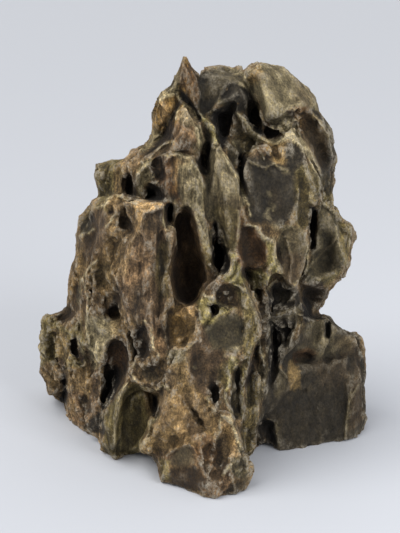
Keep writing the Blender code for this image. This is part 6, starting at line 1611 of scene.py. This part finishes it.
def stone_material():
    """The painted minerals with grain over them, painted light and shade by relief and hollowness, crest
    dust that is partly a painted highlight, and dirt that is partly painted shade.
    """
    material = bpy.data.materials.new("dragon stone")
    material.use_nodes = True
    tree = material.node_tree
    shader = tree.nodes["Principled BSDF"]
    rough = attribute(tree, "rough")
    grain = tree.nodes.new("ShaderNodeGroup")
    grain.node_tree = grain_group()
    tree.links.new(attribute(tree, "mineral", "Color"), grain.inputs["Colour"])
    tree.links.new(attribute(tree, "streak"), grain.inputs["Streak"])
    tree.links.new(rough, grain.inputs["Rough"])
    dust_dirt_and_painted_light = tree.nodes.new("ShaderNodeGroup")
    dust_dirt_and_painted_light.node_tree = dust_dirt_and_painted_light_group()
    # How much crest dust and painted highlight a crest gets: more where the skin is rough.
    dust_and_highlight = maths(tree, "ADD", maths(tree, "MULTIPLY", rough, 0.65), 0.35)
    tree.links.new(grain.outputs["Colour"], dust_dirt_and_painted_light.inputs["Colour"])
    # Crest feeds dust that is partly a painted highlight. Relief and hollow feed painted light and shade,
    # and the dirt.
    tree.links.new(maths(tree, "MULTIPLY", attribute(tree, "crest"), dust_and_highlight), dust_dirt_and_painted_light.inputs["Crest"])
    tree.links.new(attribute(tree, "relief"), dust_dirt_and_painted_light.inputs["Relief"])
    tree.links.new(attribute(tree, "hollow"), dust_dirt_and_painted_light.inputs["Hollow"])
    tree.links.new(dust_dirt_and_painted_light.outputs["Colour"], shader.inputs["Base Color"])
    patchy = stone_noise(tree, size=4.0, stretch=1.5, detail=4)
    tree.links.new(ranged(tree, patchy, 0.3, 0.7, 0.68, 0.95), shader.inputs["Roughness"])
    shader.inputs["Specular IOR Level"].default_value = STONE_SHINE
    bump = tree.nodes.new("ShaderNodeBump")
    bump.inputs["Strength"].default_value = 1.0
    bump.inputs["Distance"].default_value = GRAIN_HEIGHT
    tree.links.new(grain.outputs["Height"], bump.inputs["Height"])
    tree.links.new(bump.outputs["Normal"], shader.inputs["Normal"])
    return material


# The studio: a wide pale floor, a broad distant light from the left, a panel at the front right,
# and an even sky. Directions point from the stone to the light, and lengths are in metres.
FLOOR_WIDTH = 16
FLOOR_COLOUR = (0.5, 0.52, 0.565, 1)
KEY_DIRECTION = (-0.62, -0.32, 1.0)
KEY_STRENGTH = 2.45
KEY_BREADTH = math.radians(50)
KEY_COLOUR = (1.0, 0.98, 0.94)
PANEL_PLACE = (0.75, -0.95, 0.9)
PANEL_DIRECTION = (0.75, -0.95, 0.8)
PANEL_WIDTH = 0.6
PANEL_POWER = 11
SKY_COLOUR = (0.97, 0.98, 1.0, 1)
SKY_STRENGTH = 0.62


def studio_floor():
    bpy.ops.object.select_all(action="DESELECT")
    bpy.ops.mesh.primitive_plane_add(size=FLOOR_WIDTH)
    ground = bpy.context.object
    ground.name = "studio_floor"
    material = bpy.data.materials.new("pale floor")
    material.use_nodes = True
    shader = material.node_tree.nodes["Principled BSDF"]
    shader.inputs["Base Color"].default_value = FLOOR_COLOUR
    shader.inputs["Roughness"].default_value = 0.6
    shader.inputs["Specular IOR Level"].default_value = 0.2
    ground.data.materials.append(material)


def hang(data, direction, place=(0, 0, 0)):
    """Puts a light in the scene, turned towards the stone."""
    lamp = bpy.data.objects.new(data.name, data)
    lamp.location = place
    lamp.rotation_euler = Vector(direction).to_track_quat("Z", "Y").to_euler()
    bpy.context.scene.collection.objects.link(lamp)


def key_light():
    data = bpy.data.lights.new("key", "SUN")
    data.energy = KEY_STRENGTH
    data.angle = KEY_BREADTH
    data.color = KEY_COLOUR
    hang(data, KEY_DIRECTION)


def front_panel():
    data = bpy.data.lights.new("front", "AREA")
    data.size = PANEL_WIDTH
    data.energy = PANEL_POWER
    hang(data, PANEL_DIRECTION, PANEL_PLACE)


def even_sky():
    world = bpy.data.worlds.new("studio")
    bpy.context.scene.world = world
    world.use_nodes = True
    background = world.node_tree.nodes["Background"]
    background.inputs["Color"].default_value = SKY_COLOUR
    background.inputs["Strength"].default_value = SKY_STRENGTH


def camera():
    data = bpy.data.cameras.new("view")
    data.sensor_fit = "AUTO"
    data.sensor_width = SENSOR_MM
    data.lens = SENSOR_MM * EYE_DISTANCE / (FRAME_PIXELS * SHEET_MM_PER_PIXEL)
    data.clip_end = SIGHT_LIMIT
    view = bpy.data.objects.new("view", data)
    view.location = eye_point() * MM
    view.rotation_euler = (math.pi / 2 - EYE_PITCH, 0, 0)
    bpy.context.scene.collection.objects.link(view)
    bpy.context.scene.camera = view


def main():
    bpy.ops.object.select_all(action="DESELECT")
    noise.seed_set(NOISE_SEED)
    camera()
    studio_floor()
    key_light()
    front_panel()
    even_sky()
    stone = carved_stone()
    mark_relief(stone)
    paint_minerals(stone)
    stone.data.materials.append(stone_material())
    bpy.context.view_layer.objects.active = stone
    stone.select_set(True)
    bpy.ops.object.shade_smooth_by_angle(angle=math.radians(30))
    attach(stone, "root")
    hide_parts("dragon_stone")
    bpy.context.scene.view_settings.view_transform = "Standard"


main()
